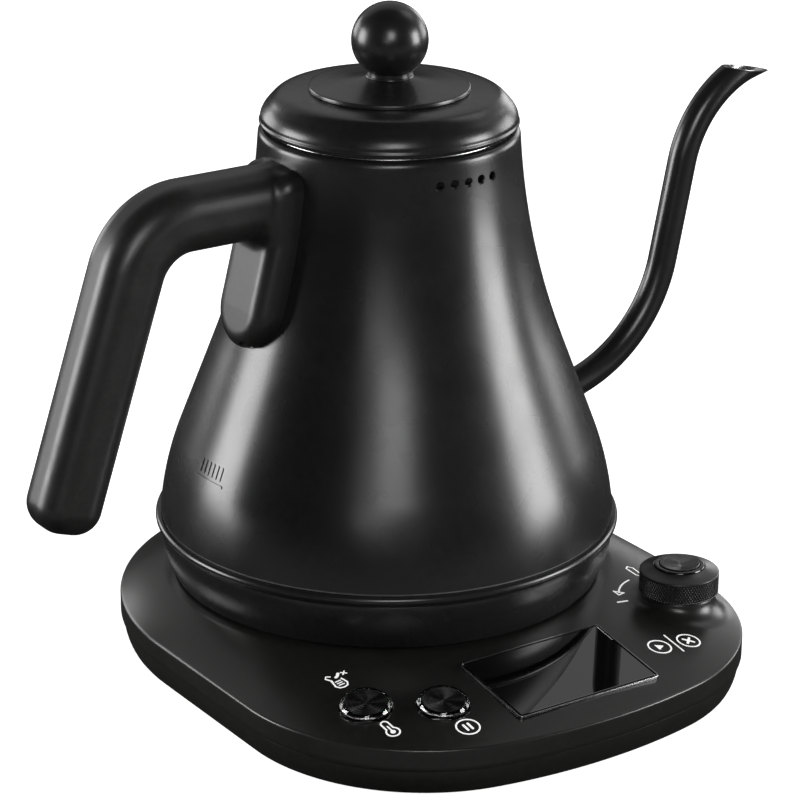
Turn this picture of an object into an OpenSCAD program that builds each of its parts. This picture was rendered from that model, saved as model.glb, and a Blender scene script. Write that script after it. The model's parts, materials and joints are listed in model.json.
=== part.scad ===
// Electric gooseneck kettle with a lift-off vessel, on a cordless power base
// Origin: on the kettle's axis, on the surface that the base stands on.
// Heights are counted from a datum inside the base, and the last block lifts everything by -ground_z.
// +X runs towards the spout, -X towards the handle, -Y towards the controls, +Z up.

/* [Power base] */
// Radius of the base's round back, and half of its width
base_r = 90.5; // [88:0.5:92]
// Reach of the base from the kettle's axis to the middle of its front edge
base_front = 125.5; // [124:0.5:128]
// Distance from the kettle's axis to where the straight sides end
side_reach = 57; // [55:0.5:59]
// Radius of the two front corners, seen from above
corner_r = 66; // [64:0.5:67]
// Height of the base's rim
rim_z = 14.25; // [14:0.25:15]
// Height of the flat seat under the kettle
seat_z = 22; // [21.5:0.25:22.25]
// Radius of the flat seat
seat_r = 76; // [74:0.5:78]
// Height of the seam between the top and the bottom cover
seam_z = 6.75; // [6:0.25:7.5]
// Wall thickness of the base's covers
cover_t = 2.2; // [2:0.1:2.4]

/* [Controls] */
// Distance of the dial's axis from the kettle's axis
dial_reach = 100.9; // [100:0.1:102]
// Bearing of the dial from the front, towards the spout's side
dial_bearing = 40.9; // [39:0.1:42]
// Radius of the dial
dial_r = 13.25; // [12:0.25:13.5]
// Distance of the two buttons from the kettle's axis
button_reach = 105; // [104:0.25:106]
// Bearing of the preset button from the front
preset_bearing = -37.3; // [-39:0.1:-36]
// Bearing of the hold button from the front
hold_bearing = -24.1; // [-25:0.1:-23]
// Radius of a button's clear cap
button_r = 8.2; // [7.5:0.1:8.4]
// How far a button is pressed
button_travel = 1; // [0.6:0.1:1.1]
// Width of the display window
window_w = 53.5; // [50:0.5:54]
// Depth of the display window, along the slope
window_d = 32.5; // [30:0.5:33]

/* [Vessel] */
// Radius of the bead around the skirt
bead_r = 78; // [77:0.25:79]
// Height of the bead
bead_z = 41; // [40.5:0.25:41.5]
// Radius of the vessel at its foot
foot_r = 76.3; // [76:0.1:76.6]
// Radius of the vessel's neck
neck_r = 42.7; // [42.5:0.1:43]
// Height where the vessel's rim starts to turn in
neck_z = 173.2; // [173:0.1:173.6]
// Angle of the vessel's side, from upright
side_angle = 20.8; // [20.6:0.1:21]
// Radius of the bulge above the foot, in side view
bulge_r = 106; // [104:1:108]
// Thickness of the vessel's steel
steel_t = 1; // [0.8:0.1:1.2]
// Number of steam vents
vent_count = 5; // [3:1:7]
// Radius of a steam vent
vent_r = 1.35; // [1:0.05:1.5]

/* [Lid] */
// Radius of the lid
lid_r = 42.3; // [42:0.1:42.6]
// Radius of the raised disc on the lid
disc_r = 26.2; // [25:0.1:27]
// Radius of the ball on the lid
ball_r = 12.5; // [11.5:0.25:12.75]

/* [Spout] */
// Outer radius of the spout's tube
tube_r = 5; // [4.8:0.05:5.1]
// Wall thickness of the spout's tube
tube_t = 0.9; // [0.8:0.05:1]
// Lean of the spout's straight stretch, away from the vessel
spout_lean = 11.6; // [11.3:0.1:12]
// Radius of the spout's lower bend
low_bend_r = 50.8; // [50:0.1:51.5]
// Radius of the spout's upper bend
top_bend_r = 40.6; // [40:0.1:41.2]

/* [Handle] */
// Width of the handle's bar
bar_w = 22.5; // [21.5:0.25:22.5]
// Corner radius of the handle's bar
bar_corner = 9; // [8:0.25:9.5]
// Height of the middle of the handle's arm
arm_z = 158.25; // [157.75:0.25:158.75]
// Slant of the grip, from upright
grip_slant = 18.3; // [17.8:0.1:18.8]
// Height of the grip's lower end
grip_end_z = 61.8; // [60:0.1:64]

/* [Hidden] */
$fn = 72;
gap = 0.15;
front_feet_at = [[-45, -98], [45, -98]];

// Plan of the base: straight sides, two corner arcs and one front arc, all tangent
corner_x = base_r - corner_r;
front_less = base_front - corner_r;
front_cy = (corner_x * corner_x + side_reach * side_reach - front_less * front_less)
    / (2 * (front_less - side_reach));
front_r = base_front + front_cy;
edge_r = 0.8;
crown_swell = 0.3;
rim_steps = 72;

// Levels inside the base
ground_z = -3.6;
foot_h = 1.2;
tray_z = ground_z + foot_h;
floor_z = tray_z + cover_t;
lip_z = seam_z + 2.3;
board_t = 1.6;
control_z = 7.4;
power_z = 6;
screw_r = 1.5;
case_screws_at = [for (x = [-1, 1], y = [-1, 1]) [36.8 * x, 36.8 * y], [-78, -52], [78, -52]];
control_posts = [for (x = [-1, 1]) each [[66 * x, -64], [44 * x, -108]]];
power_posts = [for (x = [-1, 1], y = [34, 72]) [26 * x, y]];
gland_z = 5.5;
cable_r = 3.6;

// Lower cover, from its underside up: height where each step starts, and its inset from the rim
tray_steps = [[tray_z, 3.6], [tray_z + 1.2, 2.3], [tray_z + 2.6, 1.6], [tray_z + 4.6, 1.1],
    [tray_z + 6.8, 0.8], [seam_z - 0.1, 0.8]];

// Display and its slope
window_at = [1, -97.6];
window_t = 1.6;
window_proud = 0.35;

// Levels of the dial
dial_x = dial_reach * sin(dial_bearing);
dial_y = -dial_reach * cos(dial_bearing);
collar_top = 23;
knob_z = 23.3;
knob_top = 32.4;
shaft_r = 3;

// Connector under the kettle
tower_r = 16.5;
tower_z = 33.4;
pin_r = 3.12;

// Profile of the vessel: bulge, straight side, then a hollow curve into the neck
vessel_z = 43.2;
foot_angle = 5;
bulge_z = vessel_z + bulge_r * (sin(side_angle) - sin(foot_angle));
bulge_end_r = foot_r - bulge_r * (cos(foot_angle) - cos(side_angle));
neck_angle = 3.6;
hollow_r = ((bulge_end_r - neck_r) - (neck_z - bulge_z) * tan(side_angle))
    / ((cos(neck_angle) - cos(side_angle)) - (sin(side_angle) - sin(neck_angle)) * tan(side_angle));
hollow_z = neck_z - hollow_r * (sin(side_angle) - sin(neck_angle));
hollow_start_r = neck_r + hollow_r * (cos(neck_angle) - cos(side_angle));
rim_top = neck_z + 2.1;
mouth_r = 38.6;
arc_steps = 8;
vent_z = 167.1;
vent_pitch = 6.9;
vent_turn = 1.7;
mark_z = 67;
mark_span = 9;
plate_z = 43.4;
plate_t = 1.5;
probe_y = 33;
cutout_x = 33.5;
element_at = [46, plate_z - 6.4];
element_from = -60;
element_turn = 300;

// Lid levels
lid_z = 177.1;
dome_z = lid_z + 10.5;
disc_edge_t = 1.8;
disc_t = 4.1;
ball_z = 203.8;
ball_neck_r = 7.3;
// Shoulder of the lid: how far in from the lid's radius, and how high above its lower edge
lid_shoulder = [[0.3, 0.8], [0.35, 1.5], [0.5, 2.5], [0.9, 3.6], [1.5, 4.7], [2.3, 5.8], [3.3, 6.9],
    [4.4, 8.1], [5.6, 9.1], [7, 9.75], [9.2, 10.1], [12.2, 10.3]];

// Spout, all in the plane y = 0
spout_x = 118.88;
spout_z = 125;
low_z = 109.2;
high_z = 143.35;
root_heading = 19.7;
tip_heading = 17;
tip_cut_at = [150, 172.8];
tip_cut_tilt = 10.9;
mouth_flare = 0.3;
root_len = 17;
tube_sides = 24;

// Handle, all in the plane y = 0
grip_x = -112.9;
grip_z = 100;
bar_bend_r = 22;
pad_w = 28;
pad_low = 110;
pad_high = 169.3;
pad_shoulder = 6.5;
pad_face = [[-62.2, 108], [-58.6, 124], [-53, 146], [-49.5, 172]];
bracket_z = 134;
bracket_out = 6.2;
bracket_half = [7, 16];
bracket_screws_at = [for (side = [-1, 1]) [4, 4.4 * side]];
bracket_screw_head_r = 2.3;
cover_screw_bearings = [30, 150, 270];

black_plastic = "#1c1c1e";
black_paint = "#161618";

// ---------- Base: plan and crown ----------

// Distance from the kettle's axis to the base's edge, at angle a from +X, moved in by inset
function rim(a, inset = 0) = let (
        c = abs(cos(a)), s = -sin(a), below = atan2(s, c),
        tangent = [corner_x, side_reach + front_cy] / (front_r - corner_r) * (front_r - inset),
        corner_along = c * corner_x + s * side_reach,
        corner_across = s * corner_x - c * side_reach)
    below < 0 ? base_r - inset
    : below < atan2(side_reach, base_r - inset) ? (base_r - inset) / c
    : below < atan2(tangent[1] - front_cy, tangent[0])
        ? corner_along + sqrt(pow(corner_r - inset, 2) - pow(corner_across, 2))
        : -s * front_cy + sqrt(pow(front_r - inset, 2) - pow(c * front_cy, 2));

// Height of the base's top at distance r and angle a
function crown(r, a) = let (t = (rim(a, edge_r) - r) / (rim(a, edge_r) - seat_r))
    r < seat_r ? seat_z : rim_z + (seat_z - rim_z) * (t + crown_swell * t * (1 - t));

function crown_at(x, y) = crown(norm([x, y]), atan2(y, x));

// A point of the crown, part of the way from the rim (0) to the seat (1)
function crown_point(a, t, drop = 0) = let (r = rim(a, edge_r) * (1 - t) + seat_r * t)
    [r * cos(a), r * sin(a), crown(r, a) - drop];

function ring_point(a, r, z) = [r * cos(a), r * sin(a), z];

module plan(inset) {
    polygon([for (i = [0 : rim_steps - 1]) let (a = i * 360 / rim_steps)
        rim(a, inset) * [cos(a), sin(a)]]);
}

// Closed skin of a ring-shaped solid: each row is one closed loop of points, and the rows go round
module skin(rows) {
    count = len(rows);
    n = len(rows[0]);
    polyhedron(
        points = [for (row = rows, p = row) p],
        faces = [for (i = [0 : count - 1], j = [0 : n - 1]) let (
                here = i * n, next = ((i + 1) % count) * n, up = (j + 1) % n)
            each [[here + j, here + up, next + j], [next + j, here + up, next + up]]],
        convexity = 8);
}

// Shell of the base's top: up the outside, over the crown, and back below it from a centre hole
module crown_shell(hole_r) {
    bend = edge_r * (1 - cos(45));
    skin([for (i = [0 : rim_steps - 1]) let (a = i * 360 / rim_steps) [
        ring_point(a, rim(a), seam_z),
        ring_point(a, rim(a), rim_z - edge_r),
        ring_point(a, rim(a, bend), rim_z - bend),
        crown_point(a, 0), crown_point(a, 0.33), crown_point(a, 0.67), crown_point(a, 1),
        ring_point(a, hole_r, seat_z),
        ring_point(a, hole_r, seat_z - cover_t),
        crown_point(a, 1, cover_t), crown_point(a, 0.5, cover_t),
        ring_point(a, rim(a, cover_t), rim_z - cover_t),
        ring_point(a, rim(a, cover_t), seam_z)
    ]]);
}

module at_dial() translate([dial_x, dial_y, 0]) children();

// Local origin on the crown's surface, local +Z square to it
module at_button(bearing) {
    z = crown(button_reach, bearing - 90);
    rise = crown(button_reach - 1, bearing - 90) - crown(button_reach + 1, bearing - 90);
    rotate([0, 0, bearing]) translate([0, -button_reach, z]) rotate([atan(rise / 2), 0, 0]) children();
}

module at_window() {
    rise = crown_at(window_at[0], window_at[1] + 1) - crown_at(window_at[0], window_at[1] - 1);
    translate([window_at[0], window_at[1], crown_at(window_at[0], window_at[1])])
        rotate([atan(rise / 2), 0, 0]) children();
}

module slab(w, d, low, high) {
    translate([-w / 2, -d / 2, low]) cube([w, d, high - low]);
}

module tube(outer, inner, low, high) {
    translate([0, 0, low]) difference() {
        cylinder(r = outer, h = high - low);
        translate([0, 0, -1]) cylinder(r = inner, h = high - low + 2);
    }
}

module rod(r, low, high) {
    translate([0, 0, low]) cylinder(r = r, h = high - low);
}

module along_y(z, from, to, r) {
    translate([0, from, z]) rotate([-90, 0, 0]) cylinder(r = r, h = to - from);
}

module top_cover() color(black_plastic) {
    difference() {
        union() {
            crown_shell(hole_r = 12);
            for (at = case_screws_at) translate(at) rod(3.6, floor_z + 0.2, crown_at(at[0], at[1]) - 1);
            at_dial() rotate_extrude() dial_collar_profile();
        }
        rod(tower_r + 0.5, 0, seat_z + 1);
        for (at = case_screws_at) translate(at) rod(screw_r + 0.02, floor_z, 13);
        at_dial() rod(4.2, 0, collar_top + 1);
        for (bearing = [preset_bearing, hold_bearing]) at_button(bearing) rod(button_r + 0.3, -8, 4);
        at_window() slab(window_w + 1.7, window_d + 1.7, -1.3, 4);
        at_window() slab(window_w - 2, window_d - 2, -6, 4);
        along_y(gland_z, 70, 95, 5.15);
    }
}

// Raised seat of the dial, with a hollow flare down to the crown
module dial_collar_profile() {
    flare = 5.4;
    low = 14.5;
    top_r = dial_r - 1;
    side_top = collar_top - 0.6;
    polygon(concat(
        [[3.9, low]],
        [for (a = [90 : -15 : 0])
            [top_r + flare * (1 - cos(a)), side_top - (side_top - low) * sin(a)]],
        [[top_r - 0.6, collar_top], [3.9, collar_top]]));
}

module bottom_cover() color(black_plastic) {
    difference() {
        union() {
            for (i = [0 : len(tray_steps) - 2]) translate([0, 0, tray_steps[i][0]])
                linear_extrude(tray_steps[i + 1][0] - tray_steps[i][0]) plan(tray_steps[i][1]);
            translate([0, 0, floor_z]) linear_extrude(lip_z - floor_z) plan(cover_t + 0.3);
        }
        translate([0, 0, floor_z]) linear_extrude(lip_z - floor_z + 1) plan(cover_t + 1.9);
        tube(67.1, 59.9, ground_z, tray_z + 1.2);
        for (at = front_feet_at) translate(at) rod(7.1, ground_z, tray_z + 1.2);
        for (at = case_screws_at) translate(at) {
            rod(1.9, ground_z, floor_z + 1);
            rod(3.5, ground_z, tray_z + 1.5);
        }
        along_y(gland_z, 70, 95, 5.15);
    }
    for (at = control_posts) translate(at) tube(3, 1.2, floor_z, control_z);
    for (at = power_posts) translate(at) tube(3, 1.2, floor_z, power_z);
}

module foot_ring() color("#2a2a2a") tube(67, 60, ground_z, tray_z + 1.2);

module front_feet() color("#2a2a2a") for (at = front_feet_at) translate(at)
    rod(7, ground_z, tray_z + 1.2);

module case_screws() color("silver") for (at = case_screws_at) translate(at) {
    rod(3.2, tray_z + 0.3, tray_z + 1.5);
    rod(screw_r, tray_z + 1.5, 12);
}

module connector() color("#303033") {
    difference() {
        union() {
            rod(28, seat_z - cover_t - 2.6, seat_z - cover_t);
            rod(tower_r, seat_z - cover_t, tower_z);
        }
        tube(13.5, 11.5, 24, tower_z + 1);
        tube(8.5, 6.5, 24, tower_z + 1);
        rod(pin_r + 0.08, 24, tower_z + 1);
    }
}

module connector_contacts() color("#c9a24a") {
    tube(12.2, 11.6, 24, 31);
    tube(7.2, 6.6, 24, 31);
}

module display_window() color("#050506") at_window()
    slab(window_w, window_d, window_proud - window_t, window_proud);

module display_bezel() color("#6b6b70") at_window() difference() {
    slab(window_w + 1.5, window_d + 1.5, -1.25, window_proud + 0.1);
    slab(window_w + 0.2, window_d + 0.2, -3, 3);
}

module display_module() color("#3b3f45") at_window() slab(window_w - 4, window_d - 4, -5.2, -1.3);

module control_board() color("#1d5a38") difference() {
    translate([0, 0, control_z]) linear_extrude(board_t) intersection() {
        plan(6);
        translate([-71, -117]) square([142, 58]);
    }
    for (at = control_posts) translate(at) rod(1.3, control_z - 1, control_z + board_t + 1);
}

module tact_switches() color("#404044") for (bearing = [preset_bearing, hold_bearing])
    rotate([0, 0, bearing]) translate([0, -button_reach + 0.6, control_z + board_t]) {
        slab(6, 6, 0, 2.5);
        rod(1.7, 2.5, 2.85);
    }

module encoder() color("#8d9096") at_dial() {
    body_z = control_z + board_t;
    difference() {
        union() {
            slab(12, 12, body_z, 14.1);
            rod(3.6, 14.1, 19);
        }
        rod(shaft_r + 0.05, 11.4, 20);
    }
}

module buzzer() color("#151515") translate([0, -70, 0]) tube(5, 1, control_z + board_t, 14);

module power_board() color("#1d5a38") difference() {
    translate([-30, 30, power_z]) cube([60, 46, board_t]);
    for (at = power_posts) translate(at) rod(1.3, power_z - 1, power_z + board_t + 1);
}

module relay() color("#2f6fb0") translate([-24, 52, power_z + board_t]) cube([19, 15.5, 10.5]);

module transformer() color("#d8c14a") translate([4, 52, power_z + board_t]) cube([17, 15, 11]);

module capacitor() color("#3a3a55") translate([-8, 40, power_z + board_t + 5.05])
    rotate([0, 90, 0]) cylinder(r = 5, h = 18);

module board_screws() color("silver") {
    for (at = control_posts) translate(at) {
        rod(2.4, control_z + board_t, control_z + board_t + 1.2);
        rod(1.15, control_z - 3, control_z + board_t);
    }
    for (at = power_posts) translate(at) {
        rod(2.4, power_z + board_t, power_z + board_t + 1.2);
        rod(1.15, power_z - 2, power_z + board_t);
    }
}

module cord_gland() color("#262626") difference() {
    union() {
        along_y(gland_z, 81, base_r + 1.8, 5);
        along_y(gland_z, base_r + 0.2, base_r + 1.8, 6);
        along_y(gland_z, 81, 83.5, 5.05);
    }
    along_y(gland_z, 80, base_r + 3, cable_r);
}

module connector_cap() color("#3a3a3e") {
    rod(16, tower_z + 0.2, tower_z + 1.4);
    rod(pin_r, 26, tower_z + 0.2);
}

// ---------- Kettle ----------

// Outside of the vessel, from the foot up, moved out by grow
function vessel_side(grow) = concat(
    [for (i = [0 : arc_steps]) let (a = foot_angle + (side_angle - foot_angle) * i / arc_steps)
        [foot_r + grow - bulge_r * (cos(foot_angle) - cos(a)),
            vessel_z + bulge_r * (sin(a) - sin(foot_angle))]],
    [for (i = [0 : arc_steps * 2]) let (a = side_angle + (neck_angle - side_angle) * i / (arc_steps * 2))
        [hollow_start_r + grow - hollow_r * (cos(a) - cos(side_angle)),
            hollow_z + hollow_r * (sin(side_angle) - sin(a))]]);

module vessel_block(grow) rotate_extrude()
    polygon(concat([[0, vessel_z]], vessel_side(grow), [[0, neck_z]]));

module vents(r) for (i = [0 : vent_count - 1])
    rotate([0, 0, vent_turn + (i - (vent_count - 1) / 2) * vent_pitch])
        translate([0, 0, vent_z]) rotate([90, 0, 0]) cylinder(r = r, h = neck_r + 4);

module vessel() color(black_paint) {
    inner = vessel_side(-steel_t);
    n = len(inner);
    difference() {
        rotate_extrude() polygon(concat(
            vessel_side(0),
            [[neck_r - 0.3, neck_z + 1.2], [neck_r - 1.2, rim_top], [mouth_r + 1, rim_top],
                [mouth_r + 1, rim_top - steel_t], [neck_r - 1.6, rim_top - steel_t]],
            [for (i = [n - 1 : -1 : 0]) inner[i]]));
        vents(vent_r);
        spout_root_cut();
    }
}

// Radius of the vessel's bulge at height z
function bulge_at(z) = foot_r
    - bulge_r * (cos(foot_angle) - cos(asin(sin(foot_angle) + (z - vessel_z) / bulge_r)));

// Raised water-level line on the handle's side
module level_mark() color(black_paint) rotate([0, 0, 180 - mark_span / 2]) rotate_extrude(angle = mark_span)
    polygon([[bulge_at(mark_z) + 0.02, mark_z], [bulge_at(mark_z) + 0.4, mark_z + 0.1],
        [bulge_at(mark_z + 1) + 0.4, mark_z + 0.9], [bulge_at(mark_z + 1) + 0.02, mark_z + 1]]);

module mouth_ring() color("silver") rotate_extrude() polygon([
    [mouth_r, 170], [mouth_r + 0.9, 170], [mouth_r + 0.9, rim_top + 0.1], [neck_r - 1.6, rim_top + 0.1],
    [neck_r - 1.6, rim_top + 0.6], [mouth_r, rim_top + 0.6]]);

// Places along the spout's centre line
low_x = spout_x + (low_z - spout_z) * tan(spout_lean);
high_x = spout_x + (high_z - spout_z) * tan(spout_lean);
low_centre = [low_x - low_bend_r * cos(spout_lean), low_z + low_bend_r * sin(spout_lean)];
top_centre = [high_x + top_bend_r * cos(spout_lean), high_z - top_bend_r * sin(spout_lean)];
root_at = low_centre + low_bend_r * [sin(root_heading), -cos(root_heading)];
tip_at = top_centre + top_bend_r * [-sin(tip_heading), cos(tip_heading)];

// Places its children at a point of the plane y = 0, with local +Z along a heading from +X
module heading(at, angle) translate([at[0], 0, at[1]]) rotate([0, 90 - angle, 0]) children();

// Sweeps a profile about an axis along Y through centre, from one bearing to the next
module bend(centre, from, to) translate([centre[0], 0, centre[1]])
    rotate([90, 0, 0]) rotate([0, 0, from]) rotate_extrude(angle = to - from) children();

module spout_root_cut() heading(root_at, root_heading) rod(tube_r + 0.02, -22, 5);

// Stations along the spout: place in the plane y = 0, heading, and how far the mouth flares there
function spout_stations() = concat(
    [[root_at - root_len * [cos(root_heading), sin(root_heading)], root_heading, 0]],
    [for (i = [0 : 10]) let (h = root_heading + (90 - spout_lean - root_heading) * i / 10)
        [low_centre + low_bend_r * [sin(h), -cos(h)], h, 0]],
    [for (i = [0 : 12]) let (h = 90 - spout_lean - (90 - spout_lean - tip_heading) * i / 12)
        [top_centre + top_bend_r * [-sin(h), cos(h)], h, mouth_flare * max(0, i - 10) / 2]],
    [[tip_at + 14 * [cos(tip_heading), sin(tip_heading)], tip_heading, mouth_flare * 2.5]]);

function around_station(at, r, b) = [
    at[0][0] - r * cos(b) * sin(at[1]), -r * sin(b), at[0][1] + r * cos(b) * cos(at[1])];

module spout() color(black_paint) difference() {
    stations = spout_stations();
    last = len(stations) - 1;
    skin([for (i = [0 : tube_sides - 1]) let (b = i * 360 / tube_sides) concat(
        [for (at = stations) around_station(at, tube_r + at[2], b)],
        [for (j = [last : -1 : 0]) around_station(stations[j], tube_r - tube_t + stations[j][2], b)])]);
    translate([tip_cut_at[0], 0, tip_cut_at[1]]) rotate([0, tip_cut_tilt, 0])
        translate([-25, -15, 0]) cube([60, 30, 20]);
}

module skirt() color(black_paint) rotate_extrude() difference() {
    union() {
        polygon([[73.6, 22.6], [bead_r - 1.5, 38], [bead_r - 1.9, 38.3], [bead_r - 1.9, 38.9],
            [bead_r - 1.4, 39.3], [bead_r - 1.4, bead_z + 1.3], [foot_r - 1.6, bead_z + 1.3],
            [foot_r - 1.6, 38], [71.4, 22.6]]);
        translate([bead_r - 1.6, bead_z]) circle(r = 1.6);
    }
    translate([0, bead_z + 1.3]) square([100, 5]);
}

module skirt_seal() color("#222222") tube(foot_r - 0.5, foot_r - 1.5, bead_z + 1.35, vessel_z - 0.05);

module heater_plate() color("silver") difference() {
    rod(foot_r - steel_t - 0.3, plate_z, plate_z + plate_t);
    translate([0, probe_y, 0]) rod(4.2, plate_z - 1, plate_z + plate_t + 1);
}

module heat_spreader() color("#b9bcc2") difference() {
    rod(58, plate_z - 2.1, plate_z - 0.05);
    translate([0, probe_y, 0]) rod(6, plate_z - 3, plate_z + 1);
}

module heating_element() color("#8b8378") {
    rotate([0, 0, element_from]) rotate_extrude(angle = element_turn) translate(element_at) circle(r = 4);
    for (end = [0, 1]) rotate([0, 0, element_from + end * element_turn])
        translate([element_at[0], 0, element_at[1]])
            rotate([90 - 180 * end, 0, 0]) cylinder(r = 2.2, h = 8);
}

module thermal_cutout() color("#e7e2d4") translate([cutout_x, 0, 0]) {
    rod(7, plate_z - 6.2, plate_z - 2.2);
    slab(10, 7, plate_z - 10, plate_z - 6.2);
}

module temperature_probe() color("silver") translate([0, probe_y, 0]) {
    rod(2.5, plate_z - 8, 53);
    rod(4.6, plate_z - 8, plate_z - 5);
}

module probe_seal() color("#7a2f1f") translate([0, probe_y, 0]) {
    tube(4.1, 2.6, plate_z - 0.05, plate_z + plate_t + 1);
    tube(5.6, 2.6, plate_z - 2.2, plate_z - 0.05);
    tube(5.6, 2.6, plate_z + plate_t + 0.05, plate_z + plate_t + 1.2);
}

module socket() color("#2b2b2e") rotate_extrude() polygon([
    [0, 35.7], [tower_r + 0.7, 35.7], [tower_r + 0.7, 23], [24.9, 23], [24.9, 37.4], [0, 37.4]]);

module socket_terminals() color("#c9a24a") for (a = [90, 210, 330]) rotate([0, 0, a])
    translate([17, 0, 0]) slab(0.8, 6, 37.4, 40.6);

module underside_cover() color(black_plastic) difference() {
    rod(71.1, 23, 24.6);
    rod(25.1, 22, 26);
    for (a = cover_screw_bearings) rotate([0, 0, a]) translate([64, 0, 0]) rod(1.7, 22, 26);
}

module underside_screws() color("silver") for (a = cover_screw_bearings)
    rotate([0, 0, a]) translate([64, 0, 0]) {
        rod(screw_r, 23, 31);
        rod(2.8, 24.6, 25.8);
    }

// ---------- Handle ----------

grip_dir = [-sin(grip_slant), -cos(grip_slant)];
corner_at = [grip_x + (arm_z - grip_z) * tan(grip_slant), arm_z];
bend_turn = 90 - grip_slant;
bend_len = bar_bend_r * tan(bend_turn / 2);
grip_start = corner_at + bend_len * grip_dir;
grip_len = (grip_start[1] - grip_end_z) / cos(grip_slant);

module bar_section(w = bar_w, corner = bar_corner) {
    side = w / 2 - corner;
    polygon([for (q = [0 : 3], i = [0 : 5]) let (a = q * 90 + i * 18)
        [side * sign(cos(q * 90 + 45)) + corner * cos(a), side * sign(sin(q * 90 + 45)) + corner * sin(a)]]);
}

// Outline of the handle's pad, seen along X: square shoulders and a round foot
module pad_outline() {
    half = pad_w / 2;
    centre_z = pad_high - pad_shoulder;
    polygon(concat(
        [for (side = [0, 1], i = [0 : 4]) let (a = side * 90 + i * 22.5)
            [(half - pad_shoulder) * (1 - 2 * side) + pad_shoulder * cos(a),
                centre_z + pad_shoulder * sin(a)]],
        [for (i = [0 : 12]) let (a = 180 + i * 15)
            [half * cos(a), pad_low + half + half * sin(a)]]));
}

module handle() color("#202023") difference() {
    union() {
        intersection() {
            rotate([90, 0, -90]) translate([0, 0, 30]) linear_extrude(40) pad_outline();
            translate([0, 20, 0]) rotate([90, 0, 0]) linear_extrude(40) polygon(
                concat([[-30, 100]], pad_face, [[-30, 172]]));
        }
        translate([-40, 0, arm_z]) rotate([0, -90, 0])
            linear_extrude(-40 - corner_at[0] - bend_len) bar_section();
        bend([corner_at[0] + bend_len, arm_z - bar_bend_r], 90, 90 + bend_turn)
            translate([bar_bend_r, 0]) bar_section();
        translate([grip_start[0], 0, grip_start[1]]) rotate([0, 180 + grip_slant, 0]) {
            linear_extrude(grip_len - bar_corner) bar_section();
            hull() for (a = [0 : 14 : 84])
                translate([0, 0, grip_len - bar_corner * (1 - sin(a)) - 0.01]) linear_extrude(0.01)
                    bar_section(bar_w - 2 * bar_corner * (1 - cos(a)), bar_corner * cos(a));
        }
    }
    vessel_block(gap);
    at_bracket() slab_x(-2, bracket_out + 0.1, bracket_half + [0.2, 0.2]);
    for (at = bracket_screws_at) at_bracket() translate(at) {
        rod(screw_r + gap, -30, -10);
        rod(bracket_screw_head_r + gap, -30, -18);
    }
}

// Local origin on the vessel's side under the pad, local +X outwards, +Z up the slope
module at_bracket() {
    a = asin((hollow_z - bracket_z) / hollow_r + sin(side_angle));
    r = hollow_start_r - hollow_r * (cos(a) - cos(side_angle));
    rotate([0, 0, 180]) translate([r, 0, bracket_z]) rotate([0, -a, 0]) children();
}

module slab_x(from, to, half) translate([from, -half[0], -half[1]])
    cube([to - from, 2 * half[0], 2 * half[1]]);

module handle_bracket() color("silver") difference() {
    at_bracket() slab_x(-2, bracket_out, bracket_half);
    vessel_block(0.03);
    for (at = bracket_screws_at) at_bracket() translate(at) rod(screw_r + 0.03, -17, -2);
}

module handle_screws() color("silver") for (at = bracket_screws_at) at_bracket() translate(at) {
    rod(screw_r, -20.5, -3);
    rod(bracket_screw_head_r, -20.5, -18.1);
}

// ---------- Lid ----------

// Outside of the lid, from its lower edge up to the raised disc, moved in by inset
function lid_side(inset) = concat(
    [[lid_r - inset, lid_z]],
    [for (p = lid_shoulder) [lid_r - inset - p[0], lid_z + p[1] - inset * p[1] / (dome_z - lid_z)]],
    [[disc_r, dome_z - inset]]);

module lid_cover() color(black_paint) {
    inner = lid_side(steel_t);
    rotate_extrude() polygon(concat(
        lid_side(0), [[2.3, dome_z], [2.3, dome_z - steel_t]],
        [for (i = [len(inner) - 1 : -1 : 0]) inner[i]]));
}

module lid_disc() color(black_paint) rotate_extrude() polygon([
    [2.3, dome_z + 0.02], [disc_r, dome_z + 0.02], [disc_r, dome_z + disc_edge_t - 0.2],
    [disc_r - 0.3, dome_z + disc_edge_t], [ball_neck_r + 0.2, dome_z + disc_t], [2.3, dome_z + disc_t]]);

module lid_ball() color(black_paint) difference() {
    foot_z = dome_z + disc_t + 0.02;
    union() {
        translate([0, 0, ball_z]) sphere(r = ball_r);
        rod(ball_neck_r, foot_z, ball_z);
    }
    rod(2.03, dome_z, ball_z + 2);
    rod(ball_r, foot_z - 3, foot_z);
}

module lid_screw() color("silver") {
    rod(2, dome_z - steel_t, ball_z);
    rod(4.5, dome_z - steel_t - 2.6, dome_z - steel_t);
}

module lid_liner() color("silver") rotate_extrude() polygon([
    [0, 164], [0, 163], [37.6, 163], [37.6, rim_top + 1], [lid_r - 1.6, rim_top + 1],
    [lid_r - 1.6, lid_z - 0.2], [37.6, lid_z - 0.2], [37.6, 182], [36.6, 182], [36.6, 164]]);

module lid_gasket() color("#6d6d70") tube(mouth_r - 0.3, 37.62, 171, 173);

// ---------- Dial ----------

module dial_knob() color("#1a1a1c") at_dial() rotate_extrude() polygon([
    [shaft_r + 0.03, 23.9], [5.2, 23.9], [5.2, 27.2], [11.4, 27.2], [11.4, knob_z], [dial_r, knob_z],
    [dial_r, knob_z + 7], [dial_r - 0.35, knob_z + 7.6], [8.45, knob_top], [8.45, 31.6], [6.85, 31.6],
    [6.85, 29.6], [shaft_r + 0.03, 29.6]]);

module dial_ring() color("#9a9a9e") at_dial() rotate_extrude() polygon([
    [6.9, 31.62], [8.4, 31.62], [8.4, 32.4], [8, 32.75], [7.2, 32.75], [6.9, 32.5]]);

module dial_shaft() color("silver") at_dial() rod(shaft_r, 11.6, 28.6);

module dial_button() color("#2c2c30") at_dial() rotate_extrude() polygon([
    [0, 30.5], [6.65, 30.5], [6.65, 32.8], [6.4, 33.1], [0, 32.7]]);

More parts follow.
